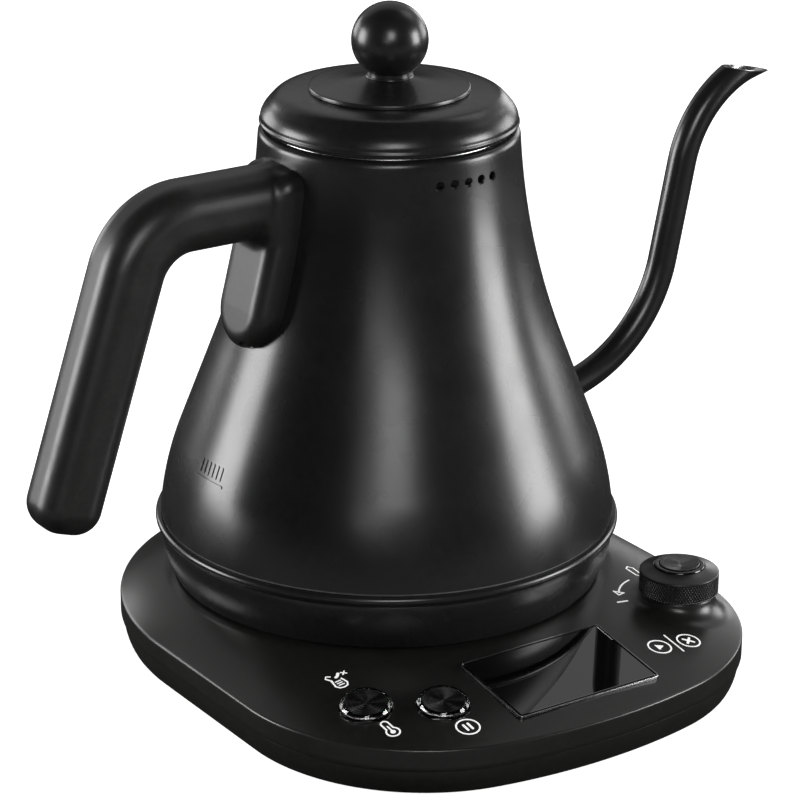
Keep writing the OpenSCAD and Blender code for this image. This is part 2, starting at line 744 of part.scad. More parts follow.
// ---------- Buttons ----------

module button_cap() rotate_extrude() polygon([
    [0, -3.4 - button_travel], [2.2, -3.4 - button_travel], [2.2, -4.1], [9.2, -4.1],
    [9.2, -3.2], [button_r, -3.2],
    [button_r, 1.7], [button_r - 0.9, 3], [button_r - 1.2, 3], [button_r - 1.2, 1.4], [0, 1.4]]);

module button_disc() rotate_extrude() polygon([
    [0, 1.42], [button_r - 1.25, 1.42], [button_r - 1.25, 2.75], [0, 2.45]]);

module preset_cap() color("#c8ccd0") at_button(preset_bearing) button_cap();

module preset_disc() color("#2c2c30") at_button(preset_bearing) button_disc();

module hold_cap() color("#c8ccd0") at_button(hold_bearing) button_cap();

module hold_disc() color("#2c2c30") at_button(hold_bearing) button_disc();

translate([0, 0, -ground_z]) {
    top_cover();
    bottom_cover();
    foot_ring();
    front_feet();
    case_screws();
    connector();
    connector_contacts();
    display_window();
    display_bezel();
    display_module();
    control_board();
    tact_switches();
    encoder();
    buzzer();
    power_board();
    relay();
    transformer();
    capacitor();
    board_screws();
    cord_gland();
    connector_cap();
    vessel();
    level_mark();
    mouth_ring();
    spout();
    skirt();
    skirt_seal();
    heater_plate();
    heat_spreader();
    heating_element();
    thermal_cutout();
    temperature_probe();
    probe_seal();
    socket();
    socket_terminals();
    underside_cover();
    underside_screws();
    handle();
    handle_bracket();
    handle_screws();
    lid_cover();
    lid_disc();
    lid_ball();
    lid_screw();
    lid_liner();
    lid_gasket();
    dial_knob();
    dial_ring();
    dial_shaft();
    dial_button();
    preset_cap();
    preset_disc();
    hold_cap();
    hold_disc();
}
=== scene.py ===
"""Looks of an electric gooseneck kettle and its cordless base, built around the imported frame.

Shapes are written in millimetres and become metres in solid(). +X is the spout's side, -X the handle's,
-Y the controls' and +Z up. The origin is on the kettle's axis, on the surface that the base stands on.
Heights are counted from the CAD model's datum, GROUND above that surface; solid() and corners() allow for it.
"""

import json
import math

import bmesh
import bpy
import numpy as np
import openvdb
from mathutils import Matrix, Vector


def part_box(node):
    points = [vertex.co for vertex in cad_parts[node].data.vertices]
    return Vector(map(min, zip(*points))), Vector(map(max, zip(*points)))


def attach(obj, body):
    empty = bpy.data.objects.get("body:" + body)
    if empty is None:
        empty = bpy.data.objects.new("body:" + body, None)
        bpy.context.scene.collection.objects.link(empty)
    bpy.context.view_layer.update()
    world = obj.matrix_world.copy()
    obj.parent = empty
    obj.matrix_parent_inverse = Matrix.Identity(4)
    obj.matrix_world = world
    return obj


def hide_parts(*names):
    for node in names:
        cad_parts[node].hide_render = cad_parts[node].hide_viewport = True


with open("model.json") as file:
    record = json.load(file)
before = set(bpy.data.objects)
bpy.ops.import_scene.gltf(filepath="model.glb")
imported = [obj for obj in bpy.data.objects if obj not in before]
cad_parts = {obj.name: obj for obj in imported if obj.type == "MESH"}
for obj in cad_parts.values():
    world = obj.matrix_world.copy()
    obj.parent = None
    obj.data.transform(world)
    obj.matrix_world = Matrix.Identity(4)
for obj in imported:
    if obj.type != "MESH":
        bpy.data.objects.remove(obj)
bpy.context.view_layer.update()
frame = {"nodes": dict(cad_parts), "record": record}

MM = 0.001
GROUND = 3.6


def corners(node):
    """Lowest and highest corner of a CAD node, in millimetres, with heights from the datum."""
    low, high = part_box(node)
    lift = Vector((0, 0, GROUND))
    return low / MM - lift, high / MM - lift


def middle(node):
    low, high = corners(node)
    return (low + high) / 2


# ---------- Sizes of the base, the same as in the CAD model ----------

BASE_LOW, BASE_HIGH = corners("top_cover")
BASE_R = BASE_HIGH.x
BASE_FRONT = -BASE_LOW.y
SEAM_Z = 6.75
SEAT_Z = corners("connector")[0].z + 4.8
SIDE_REACH = 57
CORNER_R = 66
RIM_Z = 14.25
SEAT_R = 76
COVER_T = 2.2
EDGE_R = 0.8
CROWN_SWELL = 0.3
CORNER_X = BASE_R - CORNER_R
FRONT_LESS = BASE_FRONT - CORNER_R
FRONT_CY = (CORNER_X**2 + SIDE_REACH**2 - FRONT_LESS**2) / (2 * (FRONT_LESS - SIDE_REACH))
FRONT_R = BASE_FRONT + FRONT_CY
BASE_TURNS = 360

DIAL = middle("dial_knob")
COLLAR_TOP = 23
BUTTON_REACH = 105
BUTTON_BEARINGS = {"preset": -37.3, "hold": -24.1}
BUTTON_R = 8.2
WINDOW_AT = (1, -97.6)
WINDOW_W = 53.5
WINDOW_D = 32.5
GLAND_Z = 5.5
CASE_SCREWS = [(36.8, 36.8), (-36.8, 36.8), (36.8, -36.8), (-36.8, -36.8), (-78, -52), (78, -52)]


def rim(a, inset=0.0):
    """Distance from the kettle's axis to the base's edge at angle a, moved in by inset."""
    along, out = abs(math.cos(a)), -math.sin(a)
    below = math.atan2(out, along)
    scale = (FRONT_R - inset) / (FRONT_R - CORNER_R)
    join_x, join_y = CORNER_X * scale, (SIDE_REACH + FRONT_CY) * scale
    if below < 0:
        return BASE_R - inset
    if below < math.atan2(SIDE_REACH, BASE_R - inset):
        return (BASE_R - inset) / along
    if below < math.atan2(join_y - FRONT_CY, join_x):
        reach = along * CORNER_X + out * SIDE_REACH
        across = out * CORNER_X - along * SIDE_REACH
        return reach + math.sqrt((CORNER_R - inset) ** 2 - across**2)
    return -out * FRONT_CY + math.sqrt((FRONT_R - inset) ** 2 - (along * FRONT_CY) ** 2)


def crown(r, a):
    """Height of the base's top at distance r and angle a."""
    if r < SEAT_R:
        return SEAT_Z
    edge = rim(a, EDGE_R)
    t = (edge - r) / (edge - SEAT_R)
    return RIM_Z + (SEAT_Z - RIM_Z) * (t + CROWN_SWELL * t * (1 - t))


def crown_at(x, y):
    return crown(math.hypot(x, y), math.atan2(y, x))


def move(x, y, z):
    return Matrix.Translation((x, y, z))


def turn(degrees, axis):
    return Matrix.Rotation(math.radians(degrees), 4, axis)


def at_button(name):
    """Place on the crown under a button, with local +Z square to the crown."""
    bearing = BUTTON_BEARINGS[name]
    a = math.radians(bearing - 90)
    rise = crown(BUTTON_REACH - 1, a) - crown(BUTTON_REACH + 1, a)
    tilt = math.degrees(math.atan(rise / 2))
    return turn(bearing, "Z") @ move(0, -BUTTON_REACH, crown(BUTTON_REACH, a)) @ turn(tilt, "X")


def at_window():
    x, y = WINDOW_AT
    rise = crown_at(x, y + 1) - crown_at(x, y - 1)
    return move(x, y, crown_at(x, y)) @ turn(math.degrees(math.atan(rise / 2)), "X")


# ---------- Mesh tools ----------


def solid(name, points, faces, material, place=None, crease=32):
    """Object made of points in millimetres, smooth but for edges sharper than crease degrees."""
    shape = bmesh.new()
    made = [shape.verts.new(Vector(p) * MM) for p in points]
    for face in faces:
        shape.faces.new([made[i] for i in face])
    bmesh.ops.recalc_face_normals(shape, faces=shape.faces)
    mesh = bpy.data.meshes.new(name)
    shape.to_mesh(mesh)
    shape.free()
    piece = bpy.data.objects.new(name, mesh)
    bpy.context.scene.collection.objects.link(piece)
    mesh.materials.append(material)
    smooth(piece, crease)
    location, rotation, _ = (place or Matrix()).decompose()
    piece.matrix_world = Matrix.LocRotScale((location + Vector((0, 0, GROUND))) * MM, rotation, None)
    return piece


def smooth(piece, crease):
    piece.data.polygons.foreach_set("use_smooth", [True] * len(piece.data.polygons))
    piece.data.set_sharp_from_angle(angle=math.radians(crease))


def rounded(outline, steps=6):
    """Closed outline of corners (x, y) or (x, y, radius), each with an arc of its radius."""
    points = []
    for i, (x, y, *radius) in enumerate(outline):
        here = Vector((x, y))
        if not radius:
            points.append((x, y))
            continue
        before = (Vector(outline[i - 1][:2]) - here).normalized()
        after = (Vector(outline[(i + 1) % len(outline)][:2]) - here).normalized()
        half = before.angle(after) / 2
        reach = radius[0] / math.tan(half)
        centre = here + (before + after).normalized() * radius[0] / math.sin(half)
        start, end = here + before * reach - centre, here + after * reach - centre
        points += [tuple(centre + start.slerp(end, k / steps) * radius[0]) for k in range(steps + 1)]
    return points


def arc(centre, radius, start, end, steps):
    """Points on an arc in degrees; radius may be a pair for an ellipse."""
    rx, ry = radius if isinstance(radius, tuple) else (radius, radius)
    angles = [math.radians(start + (end - start) * k / steps) for k in range(steps + 1)]
    return [(centre[0] + rx * math.cos(a), centre[1] + ry * math.sin(a)) for a in angles]


def soft_curve(points, steps=4):
    """Catmull-Rom curve through points, which are (x, y)."""
    spots = [Vector(p) for p in [points[0], *points, points[-1]]]
    path = []
    for a, b, c, d in zip(spots, spots[1:], spots[2:], spots[3:]):
        for t in (k / steps for k in range(steps)):
            bend = 2 * a - 5 * b + 4 * c - d + t * (3 * (b - c) + d - a)
            path.append(tuple(b + 0.5 * t * (c - a + t * bend)))
    return path + [tuple(points[-1])]


def numbered(rows, count):
    """Point numbers of rows of count points each."""
    return [range(i * count, (i + 1) * count) for i in range(rows)]


def rows_to_faces(rows, closed_rows=True, closed_columns=True):
    """Faces between neighbouring rows of point numbers; points that fall together are dropped."""
    faces = []
    for i in range(len(rows) if closed_rows else len(rows) - 1):
        here, after = rows[i], rows[(i + 1) % len(rows)]
        for j in range(len(here) if closed_columns else len(here) - 1):
            k = (j + 1) % len(here)
            face = list(dict.fromkeys((here[j], here[k], after[k], after[j])))
            if len(face) > 2:
                faces.append(face)
    return faces


def lathe(name, outline, material, place=None, turns=192, shape=None, crease=32):
    """Solid of revolution of a closed outline (r, z). shape(r, z, a) may change a point's radius."""
    points, rows = [], []
    for r, z in outline:
        if r < 1e-6:
            rows.append([len(points)] * turns)
            points.append((0, 0, z))
            continue
        rows.append(range(len(points), len(points) + turns))
        for j in range(turns):
            a = math.tau * j / turns
            reach = shape(r, z, a) if shape else r
            points.append((reach * math.cos(a), reach * math.sin(a), z))
    return solid(name, points, rows_to_faces(rows), material, place, crease)


def stack(name, levels, material, place=None, ring=False, crease=32):
    """Solid through outlines at heights. A ring joins its last level to its first; others get caps."""
    points = [(x, y, z) for outline, z in levels for x, y in outline]
    rows = numbered(len(levels), len(levels[0][0]))
    faces = rows_to_faces(rows, closed_rows=ring)
    if not ring:
        faces += [list(rows[0]), list(rows[-1])]
    return solid(name, points, faces, material, place, crease)


def panel(w, d, radius, inset=0.0, steps=5):
    """Outline of a rectangle with round corners, moved in by inset."""
    x, y, r = w / 2 - inset, d / 2 - inset, max(radius - inset, 0.05)
    return rounded([(x, y, r), (-x, y, r), (-x, -y, r), (x, -y, r)], steps)


def rod(name, r, low, high, place=None, turns=64):
    """Plain round cutter."""
    return lathe(name, [(0, low), (r, low), (r, high), (0, high)], None, place, turns)


def carve(piece, cutters, operation="DIFFERENCE", crease=32):
    """Cuts the cutters from the piece, or joins them to it, and removes them."""
    for cutter in cutters:
        modifier = piece.modifiers.new("carve", "BOOLEAN")
        modifier.operation = operation
        modifier.solver = "EXACT"
        modifier.object = cutter
    bpy.context.view_layer.update()
    result = bpy.data.meshes.new_from_object(piece.evaluated_get(bpy.context.evaluated_depsgraph_get()))
    piece.modifiers.clear()
    old, piece.data = piece.data, result
    bpy.data.meshes.remove(old)
    for cutter in cutters:
        bpy.data.objects.remove(cutter)
    smooth(piece, crease)
    return piece


def ribbon(path, width, lift, height, sink=0.05, closed=False, steps=5):
    """Points and faces of a raised stroke with round ends along a path. lift(u, v, h) places it."""
    spots = [Vector(p) for p in path]
    count = len(spots)
    stations = []
    for i, spot in enumerate(spots):
        before = spots[i - 1] if i or closed else spot
        after = spots[(i + 1) % count] if i < count - 1 or closed else spot
        ahead = (after - before).normalized()
        stations.append((spot, ahead, width / 2))
    if not closed:
        first, last = stations[0], stations[-1]
        angles = [math.radians(90 * k / steps) for k in range(1, steps)]
        lead = [(first[0] - first[1] * math.cos(a) * width / 2, first[1], math.sin(a) * width / 2)
                for a in angles]
        tail = [(last[0] + last[1] * math.cos(a) * width / 2, last[1], math.sin(a) * width / 2)
                for a in reversed(angles)]
        stations = lead + stations + tail
    points = []
    for spot, ahead, half in stations:
        side = Vector((-ahead.y, ahead.x)) * half
        left, right = spot + side, spot - side
        points += [lift(left.x, left.y, -sink), lift(left.x, left.y, height),
                   lift(right.x, right.y, height), lift(right.x, right.y, -sink)]
    rows = numbered(len(stations), 4)
    faces = rows_to_faces(rows, closed_rows=closed)
    if not closed:
        faces += [list(rows[0]), list(rows[-1])]
    return points, faces


def raised(name, strokes, lift, height, material, sink=0.05):
    """One piece made of several strokes (path, width, closed)."""
    points, faces = [], []
    for path, width, closed in strokes:
        more, sides = ribbon(path, width, lift, height, sink, closed)
        faces += [[i + len(points) for i in side] for side in sides]
        points += more
    return solid(name, points, faces, material)


def settle(piece, body, slot, *nodes):
    """Rides the piece on a body and hides the CAD nodes that it stands for. Its slot is not used."""
    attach(piece, body)
    if nodes:
        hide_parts(*nodes)
    return piece


# ---------- Materials ----------


class Finish:
    """Node material that starts from a Principled shader, in the piece's own coordinates."""

    def __init__(self, name, **sockets):
        self.material = bpy.data.materials.new(name)
        self.material.use_nodes = True
        self.nodes = self.material.node_tree.nodes
        self.links = self.material.node_tree.links
        self.shader = self.nodes["Principled BSDF"]
        self.here = self.nodes.new("ShaderNodeTexCoord").outputs["Object"]
        for socket, value in sockets.items():
            self.shader.inputs[socket.replace("_", " ")].default_value = value

    def noise(self, size, detail=3.0, at=None, stretch=None):
        """Noise whose grain is about size millimetres."""
        texture = self.nodes.new("ShaderNodeTexNoise")
        texture.inputs["Scale"].default_value = 1 / (size * MM)
        texture.inputs["Detail"].default_value = detail
        source = at or self.here
        if stretch:
            mapping = self.nodes.new("ShaderNodeMapping")
            mapping.inputs["Scale"].default_value = stretch
            self.links.new(source, mapping.inputs["Vector"])
            source = mapping.outputs["Vector"]
        self.links.new(source, texture.inputs["Vector"])
        return texture.outputs["Fac"]

    def between(self, value, low, high, start=0.3, end=0.7):
        """Number that goes from low to high as the value goes from start to end."""
        step = self.nodes.new("ShaderNodeMapRange")
        for socket, number in zip(("From Min", "From Max", "To Min", "To Max"), (start, end, low, high)):
            step.inputs[socket].default_value = number
        self.links.new(value, step.inputs["Value"])
        return step.outputs["Result"]

    def colours(self, value, low, high, start=0.35, end=0.65):
        ramp = self.nodes.new("ShaderNodeValToRGB")
        for element, place, colour in zip(ramp.color_ramp.elements, (start, end), (low, high)):
            element.position = place
            element.color = (*colour, 1)
        self.links.new(value, ramp.inputs["Fac"])
        self.links.new(ramp.outputs["Color"], self.shader.inputs["Base Color"])
        return self

    def roughness(self, value, low, high):
        self.links.new(self.between(value, low, high), self.shader.inputs["Roughness"])
        return self

    def bump(self, value, depth, strength=1.0):
        """Adds relief of depth millimetres over any that is there."""
        relief = self.nodes.new("ShaderNodeBump")
        relief.inputs["Distance"].default_value = depth * MM
        relief.inputs["Strength"].default_value = strength
        self.links.new(value, relief.inputs["Height"])
        normal = self.shader.inputs["Normal"]
        if normal.links:
            self.links.new(normal.links[0].from_socket, relief.inputs["Normal"])
        self.links.new(relief.outputs["Normal"], normal)
        return self

    def polar(self):
        """Coordinates (distance from the piece's Z axis, angle, height)."""
        split = self.nodes.new("ShaderNodeSeparateXYZ")
        self.links.new(self.here, split.inputs[0])
        flat = self.nodes.new("ShaderNodeCombineXYZ")
        self.links.new(split.outputs["X"], flat.inputs["X"])
        self.links.new(split.outputs["Y"], flat.inputs["Y"])
        length = self.nodes.new("ShaderNodeVectorMath")
        length.operation = "LENGTH"
        self.links.new(flat.outputs[0], length.inputs[0])
        angle = self.nodes.new("ShaderNodeMath")
        angle.operation = "ARCTAN2"
        self.links.new(split.outputs["Y"], angle.inputs[0])
        self.links.new(split.outputs["X"], angle.inputs[1])
        joined = self.nodes.new("ShaderNodeCombineXYZ")
        self.links.new(length.outputs["Value"], joined.inputs["X"])
        self.links.new(angle.outputs[0], joined.inputs["Y"])
        self.links.new(split.outputs["Z"], joined.inputs["Z"])
        return joined.outputs[0]


def moulded(name, dark, light, rough, grain, depth, patch=14.0, **sockets):
    """Moulded or painted surface: fine grain in its relief, and slow changes in colour and gloss."""
    finish = Finish(name, **sockets)
    slow = finish.noise(patch, detail=2.0)
    fine = finish.noise(grain, detail=4.0)
    finish.colours(finish.noise(patch / 6), dark, light)
    finish.roughness(slow, *rough)
    finish.bump(fine, depth)
    return finish.material


def brushed(name, dark, light, rough, **sockets):
    """Metal brushed around the kettle's axis."""
    finish = Finish(name, Metallic=1.0, **sockets)
    lines = finish.noise(1.0, detail=5.0, at=finish.polar(), stretch=(2.5, 0.002, 4.0))
    finish.colours(lines, dark, light)
    finish.roughness(lines, *rough)
    finish.bump(lines, 0.01)
    return finish.material


def spun(name, dark, light, rough, **sockets):
    """Disc turned on a lathe: fine rings around its own axis, with radial glints."""
    finish = Finish(name, Metallic=1.0, **sockets)
    rings = finish.noise(1.0, detail=3.0, at=finish.polar(), stretch=(9.0, 0.0002, 0.0))
    finish.colours(rings, dark, light)
    finish.roughness(rings, *rough)
    finish.bump(rings, 0.006)
    around = finish.nodes.new("ShaderNodeTangent")
    around.direction_type = "RADIAL"
    around.axis = "Z"
    finish.links.new(around.outputs["Tangent"], finish.shader.inputs["Tangent"])
    return finish.material


def grey(value):
    return (value, value, value)


PAINT = moulded("satin_black_paint", (0.0095, 0.0095, 0.010), (0.0125, 0.0122, 0.012), (0.25, 0.29),
                0.45, 0.0025, IOR=1.5)
PLASTIC = moulded("base_black", (0.010, 0.0098, 0.0092), (0.013, 0.0125, 0.012), (0.29, 0.34),
                  0.3, 0.003, IOR=1.5)
GRIP = moulded("handle_black", (0.011, 0.011, 0.0108), (0.016, 0.0155, 0.015), (0.32, 0.38),
               0.38, 0.008, patch=9.0, IOR=1.5)
GLOSS = moulded("dial_black", (0.010, 0.010, 0.010), (0.013, 0.013, 0.013), (0.3, 0.36),
                0.4, 0.002, IOR=1.6)
STEEL = brushed("brushed_steel", grey(0.5), grey(0.68), (0.2, 0.34))
BARE_RIM = brushed("bare_rim", grey(0.62), grey(0.8), (0.18, 0.3))
SPUN = spun("spun_dark", grey(0.09), grey(0.17), (0.24, 0.36), Anisotropic=0.9)
BRIGHT = moulded("bright_ring", grey(0.07), grey(0.1), (0.14, 0.2), 0.6, 0.001, Metallic=1.0)
GLASS = moulded("display_glass", grey(0.0016), grey(0.0022), (0.015, 0.03), 3.0, 0.0006,
                Coat_Weight=1.0, Coat_Roughness=0.01, IOR=1.52)
BEZEL = moulded("bezel_steel", grey(0.3), grey(0.4), (0.16, 0.24), 0.5, 0.001, Metallic=1.0)
CLEAR = moulded("clear_cap", grey(0.86), grey(0.9), (0.01, 0.03), 3.0, 0.0004,
                Transmission_Weight=1.0, IOR=1.49)
# White print that also glows a little: painted light, so the symbols read brighter than the lamps alone would
# make them.
GLOWING_PRINT = moulded("print_white_glow", grey(0.8), grey(0.88), (0.5, 0.6), 0.3, 0.002, Emission_Color=(1, 1, 1, 1),
                Emission_Strength=0.5)
RUBBER = moulded("rubber_black", grey(0.012), grey(0.02), (0.6, 0.75), 0.5, 0.02)
SILICONE = moulded("seal_silicone", grey(0.09), grey(0.12), (0.45, 0.55), 0.6, 0.008)


def other_finishes():
    """Finishes of the CAD nodes that stay, by material slot."""
    finishes = {"rubber_black": RUBBER, "seal_silicone": SILICONE, "inner_steel": STEEL, "base_black": PLASTIC}
    # dark and light colour, roughness range, grain size, bump depth, metallic
    looks = {
        "screw_steel": (grey(0.42), grey(0.55), (0.25, 0.35), 0.3, 0.004, 1.0),
        "connector_plastic": (grey(0.018), grey(0.026), (0.35, 0.45), 0.3, 0.004, 0.0),
        "contact_brass": ((0.6, 0.42, 0.16), (0.72, 0.52, 0.22), (0.2, 0.3), 0.4, 0.003, 1.0),
        "module_grey": (grey(0.04), grey(0.05), (0.4, 0.5), 0.4, 0.003, 0.0),
        "circuit_board": ((0.006, 0.07, 0.03), (0.012, 0.11, 0.045), (0.3, 0.4), 0.6, 0.01, 0.0),
        "component_black": (grey(0.012), grey(0.02), (0.4, 0.5), 0.3, 0.004, 0.0),
        "encoder_steel": (grey(0.4), grey(0.5), (0.3, 0.4), 0.3, 0.003, 1.0),
        "relay_blue": ((0.02, 0.1, 0.32), (0.03, 0.13, 0.38), (0.35, 0.45), 0.4, 0.003, 0.0),
        "transformer_yellow": ((0.5, 0.4, 0.06), (0.6, 0.48, 0.09), (0.4, 0.5), 0.8, 0.01, 0.0),
        "capacitor_sleeve": ((0.02, 0.02, 0.05), (0.03, 0.03, 0.07), (0.3, 0.4), 0.5, 0.003, 0.0),
        "spreader_aluminium": (grey(0.55), grey(0.65), (0.35, 0.5), 0.5, 0.01, 1.0),
        "element_sheath": ((0.2, 0.17, 0.13), (0.28, 0.24, 0.19), (0.4, 0.55), 0.6, 0.01, 1.0),
        "cutout_ceramic": ((0.7, 0.66, 0.56), (0.8, 0.76, 0.66), (0.5, 0.6), 0.5, 0.01, 0.0),
    }
    for slot, (*look, metallic) in looks.items():
        finishes[slot] = moulded(slot, *look, Metallic=metallic)
    return finishes


# ---------- Base ----------


def top_cover():
    """Shell of the base's top: outer wall, soft edge, crown and flat seat, and back below them."""
    columns = []
    for i in range(BASE_TURNS):
        a = math.tau * i / BASE_TURNS
        edge, inner_edge = rim(a), rim(a, EDGE_R)
        slope = (SEAT_Z - RIM_Z) * (1 + CROWN_SWELL) / (inner_edge - SEAT_R)
        knee_z = RIM_Z - slope * EDGE_R
        lip = 0.35
        profile = [(edge - lip, SEAM_Z), (edge - lip / 4, SEAM_Z + lip / 4), (edge, SEAM_Z + lip)]
        profile += [(edge, SEAM_Z + (knee_z - EDGE_R - SEAM_Z) * k / 4) for k in (1, 2, 3)]
        for k in range(9):
            t = k / 8
            r = edge * (1 - t * t) + inner_edge * t * t
            z = (knee_z - EDGE_R) * (1 - t) ** 2 + knee_z * 2 * t * (1 - t) + RIM_Z * t * t
            profile.append((r, z))
        for k in range(1, 25):
            r = inner_edge + (SEAT_R - inner_edge) * k / 24
            profile.append((r, crown(r, a)))
        profile += [(75, SEAT_Z), (60, SEAT_Z), (40, SEAT_Z), (17.6, SEAT_Z), (17, SEAT_Z - 0.6)]
        profile += [(17, SEAT_Z - COVER_T), (40, SEAT_Z - COVER_T), (SEAT_R - 1, SEAT_Z - COVER_T)]
        for k in range(1, 6):
            r = SEAT_R + (inner_edge - COVER_T - SEAT_R) * k / 5
            profile.append((r, crown(r, a) - COVER_T))
        profile += [(edge - COVER_T, RIM_Z - COVER_T - 1), (edge - COVER_T, SEAM_Z)]
        columns.append([(r * math.cos(a), r * math.sin(a), z) for r, z in profile])
    faces = rows_to_faces(numbered(BASE_TURNS, len(columns[0])))
    cover = solid("base_top", [p for column in columns for p in column], faces, PLASTIC)
    carve(cover, [dial_collar()], "UNION")
    cutters = [rod("dial_bore", 4.2, 0, 30, move(DIAL.x, DIAL.y, 0)),
               rod("gland_bore", 5.15, 0, 25, move(0, 70, GLAND_Z) @ turn(-90, "X")),
               stack("window_seat", [(panel(WINDOW_W + 1.7, WINDOW_D + 1.7, 1.6), z) for z in (-1.3, 4)],
                     None, at_window()),
               stack("window_hole", [(panel(WINDOW_W - 2, WINDOW_D - 2, 1), z) for z in (-6, 4)],
                     None, at_window())]
    for name in BUTTON_BEARINGS:
        hole = [(0, -8), (BUTTON_R + 0.3, -8), (BUTTON_R + 0.3, -0.2), (BUTTON_R + 0.5, 0.1),
                (BUTTON_R + 0.5, 4), (0, 4)]
        cutters.append(lathe(name + "_hole", hole, None, at_button(name), 96))
    carve(cover, cutters)
    return settle(cover, "base", "base_black", "top_cover")


def dial_collar():
    """Raised seat under the dial, which flows down into the crown all round."""
    top_r, flare, side_top, turns, steps = 12.25, 6.4, COLLAR_TOP - 0.6, 144, 16
    rows = []
    for i in range(turns):
        a = math.tau * i / turns
        across, ahead = math.cos(a), math.sin(a)

        def ground(d):
            return crown_at(DIAL.x + d * across, DIAL.y + d * ahead)

        profile = [(2, COLLAR_TOP), (top_r - 0.6, COLLAR_TOP), (top_r - 0.18, COLLAR_TOP - 0.18)]
        for k in range(steps + 1):
            sweep = math.radians(90 * k / steps)
            d = top_r + flare * (1 - math.cos(sweep))
            profile.append((d, side_top - (side_top - ground(d)) * math.sin(sweep)))
        d = top_r + flare + 0.7
        profile += [(d, ground(d) - 0.06), (d, ground(d) - 1.2), (12, ground(12) - 1.2), (2, 17)]
        rows.append([(DIAL.x + d * across, DIAL.y + d * ahead, z) for d, z in profile])
    faces = rows_to_faces(numbered(turns, len(rows[0])))
    return solid("collar", [p for row in rows for p in row], faces, PLASTIC)


def bottom_cover():
    """Tray under the base, with a groove for the foot ring and holes for the screws."""
    low = corners("bottom_cover")[0].z
    lip_z = SEAM_Z + 2.3
    levels = [(4.2, low), (3.6, low + 0.12), (3.1, low + 0.45), (2.6, low + 1.1), (2.1, low + 2.1),
              (1.65, low + 3.3), (1.3, low + 4.6), (1.0, low + 6.2), (0.85, low + 7.7), (0.8, SEAM_Z - 0.55),
              (1.1, SEAM_Z - 0.22), (COVER_T + 0.3, SEAM_Z - 0.22), (COVER_T + 0.3, lip_z),
              (COVER_T + 1.9, lip_z), (COVER_T + 1.9, low + COVER_T)]
    points = []
    for inset, z in levels:
        for i in range(BASE_TURNS):
            a = math.tau * i / BASE_TURNS
            points.append((rim(a, inset) * math.cos(a), rim(a, inset) * math.sin(a), z))
    rows = numbered(len(levels), BASE_TURNS)
    faces = rows_to_faces(rows, closed_rows=False) + [list(rows[0]), list(rows[-1])]
    tray = solid("base_tray", points, faces, PLASTIC)
    groove = [(59.9, low - 1), (67.1, low - 1), (67.1, low + 1.2), (59.9, low + 1.2)]
    cutters = [lathe("foot_groove", groove, None, turns=144)]
    for x in (-45, 45):
        cutters.append(rod("foot_seat", 7.1, low - 1, low + 1.2, move(x, -98, 0)))
    for x, y in CASE_SCREWS:
        bore = [(0, low - 1), (3.5, low - 1), (3.5, low + 1.5), (1.9, low + 1.5), (1.9, 10), (0, 10)]
        cutters.append(lathe("screw_bore", bore, None, move(x, y, 0), 48))
    cutters.append(rod("gland_bore", 5.15, 0, 25, move(0, 70, GLAND_Z) @ turn(-90, "X")))
    carve(tray, cutters)
    return settle(tray, "base", "base_black", "bottom_cover")


def display():
    """Glass with a polished bevel, in a thin dark frame."""
    place = at_window()
    levels = [(0.12, -1.25), (0.0, -1.1), (0.0, -0.12), (0.06, 0.02), (0.42, 0.31), (0.55, 0.35)]
    glass = stack("display_pane", [(panel(WINDOW_W, WINDOW_D, 0.9, inset), z) for inset, z in levels],
                  GLASS, place, crease=12)
    settle(glass, "base", "display_glass", "display_window")
    levels = [(-0.75, -1.25), (-0.75, 0.2), (-0.62, 0.34), (-0.28, 0.34), (-0.1, 0.2), (-0.1, -1.25)]
    frame_ring = stack("display_frame", [(panel(WINDOW_W, WINDOW_D, 0.9, inset), z) for inset, z in levels],
                       BEZEL, place, ring=True)
    settle(frame_ring, "base", "bezel_grey", "display_bezel")


def cap_outline():
    """Clear cap: bevelled wall round a shallow well, a flange under the cover and a stem."""
    return rounded([(0, -4.22), (2.2, -4.22, 0.05), (2.2, -4.1), (9.2, -4.1, 0.2), (9.2, -3.2, 0.2),
                    (BUTTON_R, -3.2), (BUTTON_R, 1.15, 0.3), (BUTTON_R - 0.75, 2.2, 0.2),
                    (BUTTON_R - 1.15, 2.2, 0.1), (BUTTON_R - 1.15, 0.9), (0, 0.9)], 4)


def disc_outline(r, low, side, high, rim_w=0.35):
    """Shallow turned dish with a soft edge."""
    return [(0, low), (r, low), (r, side - rim_w * 0.5), (r - rim_w * 0.3, side - rim_w * 0.12),
            (r - rim_w, side), (r - rim_w * 1.5, side - 0.05), (0, high)]


def buttons():
    for name in BUTTON_BEARINGS:
        place = at_button(name)
        cap = lathe(name + "_lens", cap_outline(), CLEAR, place, 128)
        settle(cap, name + "_button", "clear_cap", name + "_cap")
        dish = disc_outline(BUTTON_R - 1.2, 0.92, 2.0, 1.75)
        disc = lathe(name + "_dish", dish, SPUN, place, 128)
        settle(disc, name + "_button", "spun_dark", name + "_disc")


KNURL_LOW, KNURL_HIGH = 23.7, 30.05
KNURL_COUNT = 84
KNURL_DEPTH = 0.42
KNURL_FROM = 13.2


def knurl(r, z, a):
    """Radius of the dial's side, with two crossing sets of grooves."""
    if r < KNURL_FROM or not KNURL_LOW < z < KNURL_HIGH:
        return r
    slant = (z - KNURL_LOW) * math.tan(math.radians(32)) / r
    depth = 0
    for way in (-1, 1):
        phase = ((a + way * slant) * KNURL_COUNT / math.tau) % 1
        depth = max(depth, 1 - abs(phase - 0.5) * 5.5)
    fade = min(z - KNURL_LOW, KNURL_HIGH - z, 0.25) / 0.25
    return r - KNURL_DEPTH * depth * fade


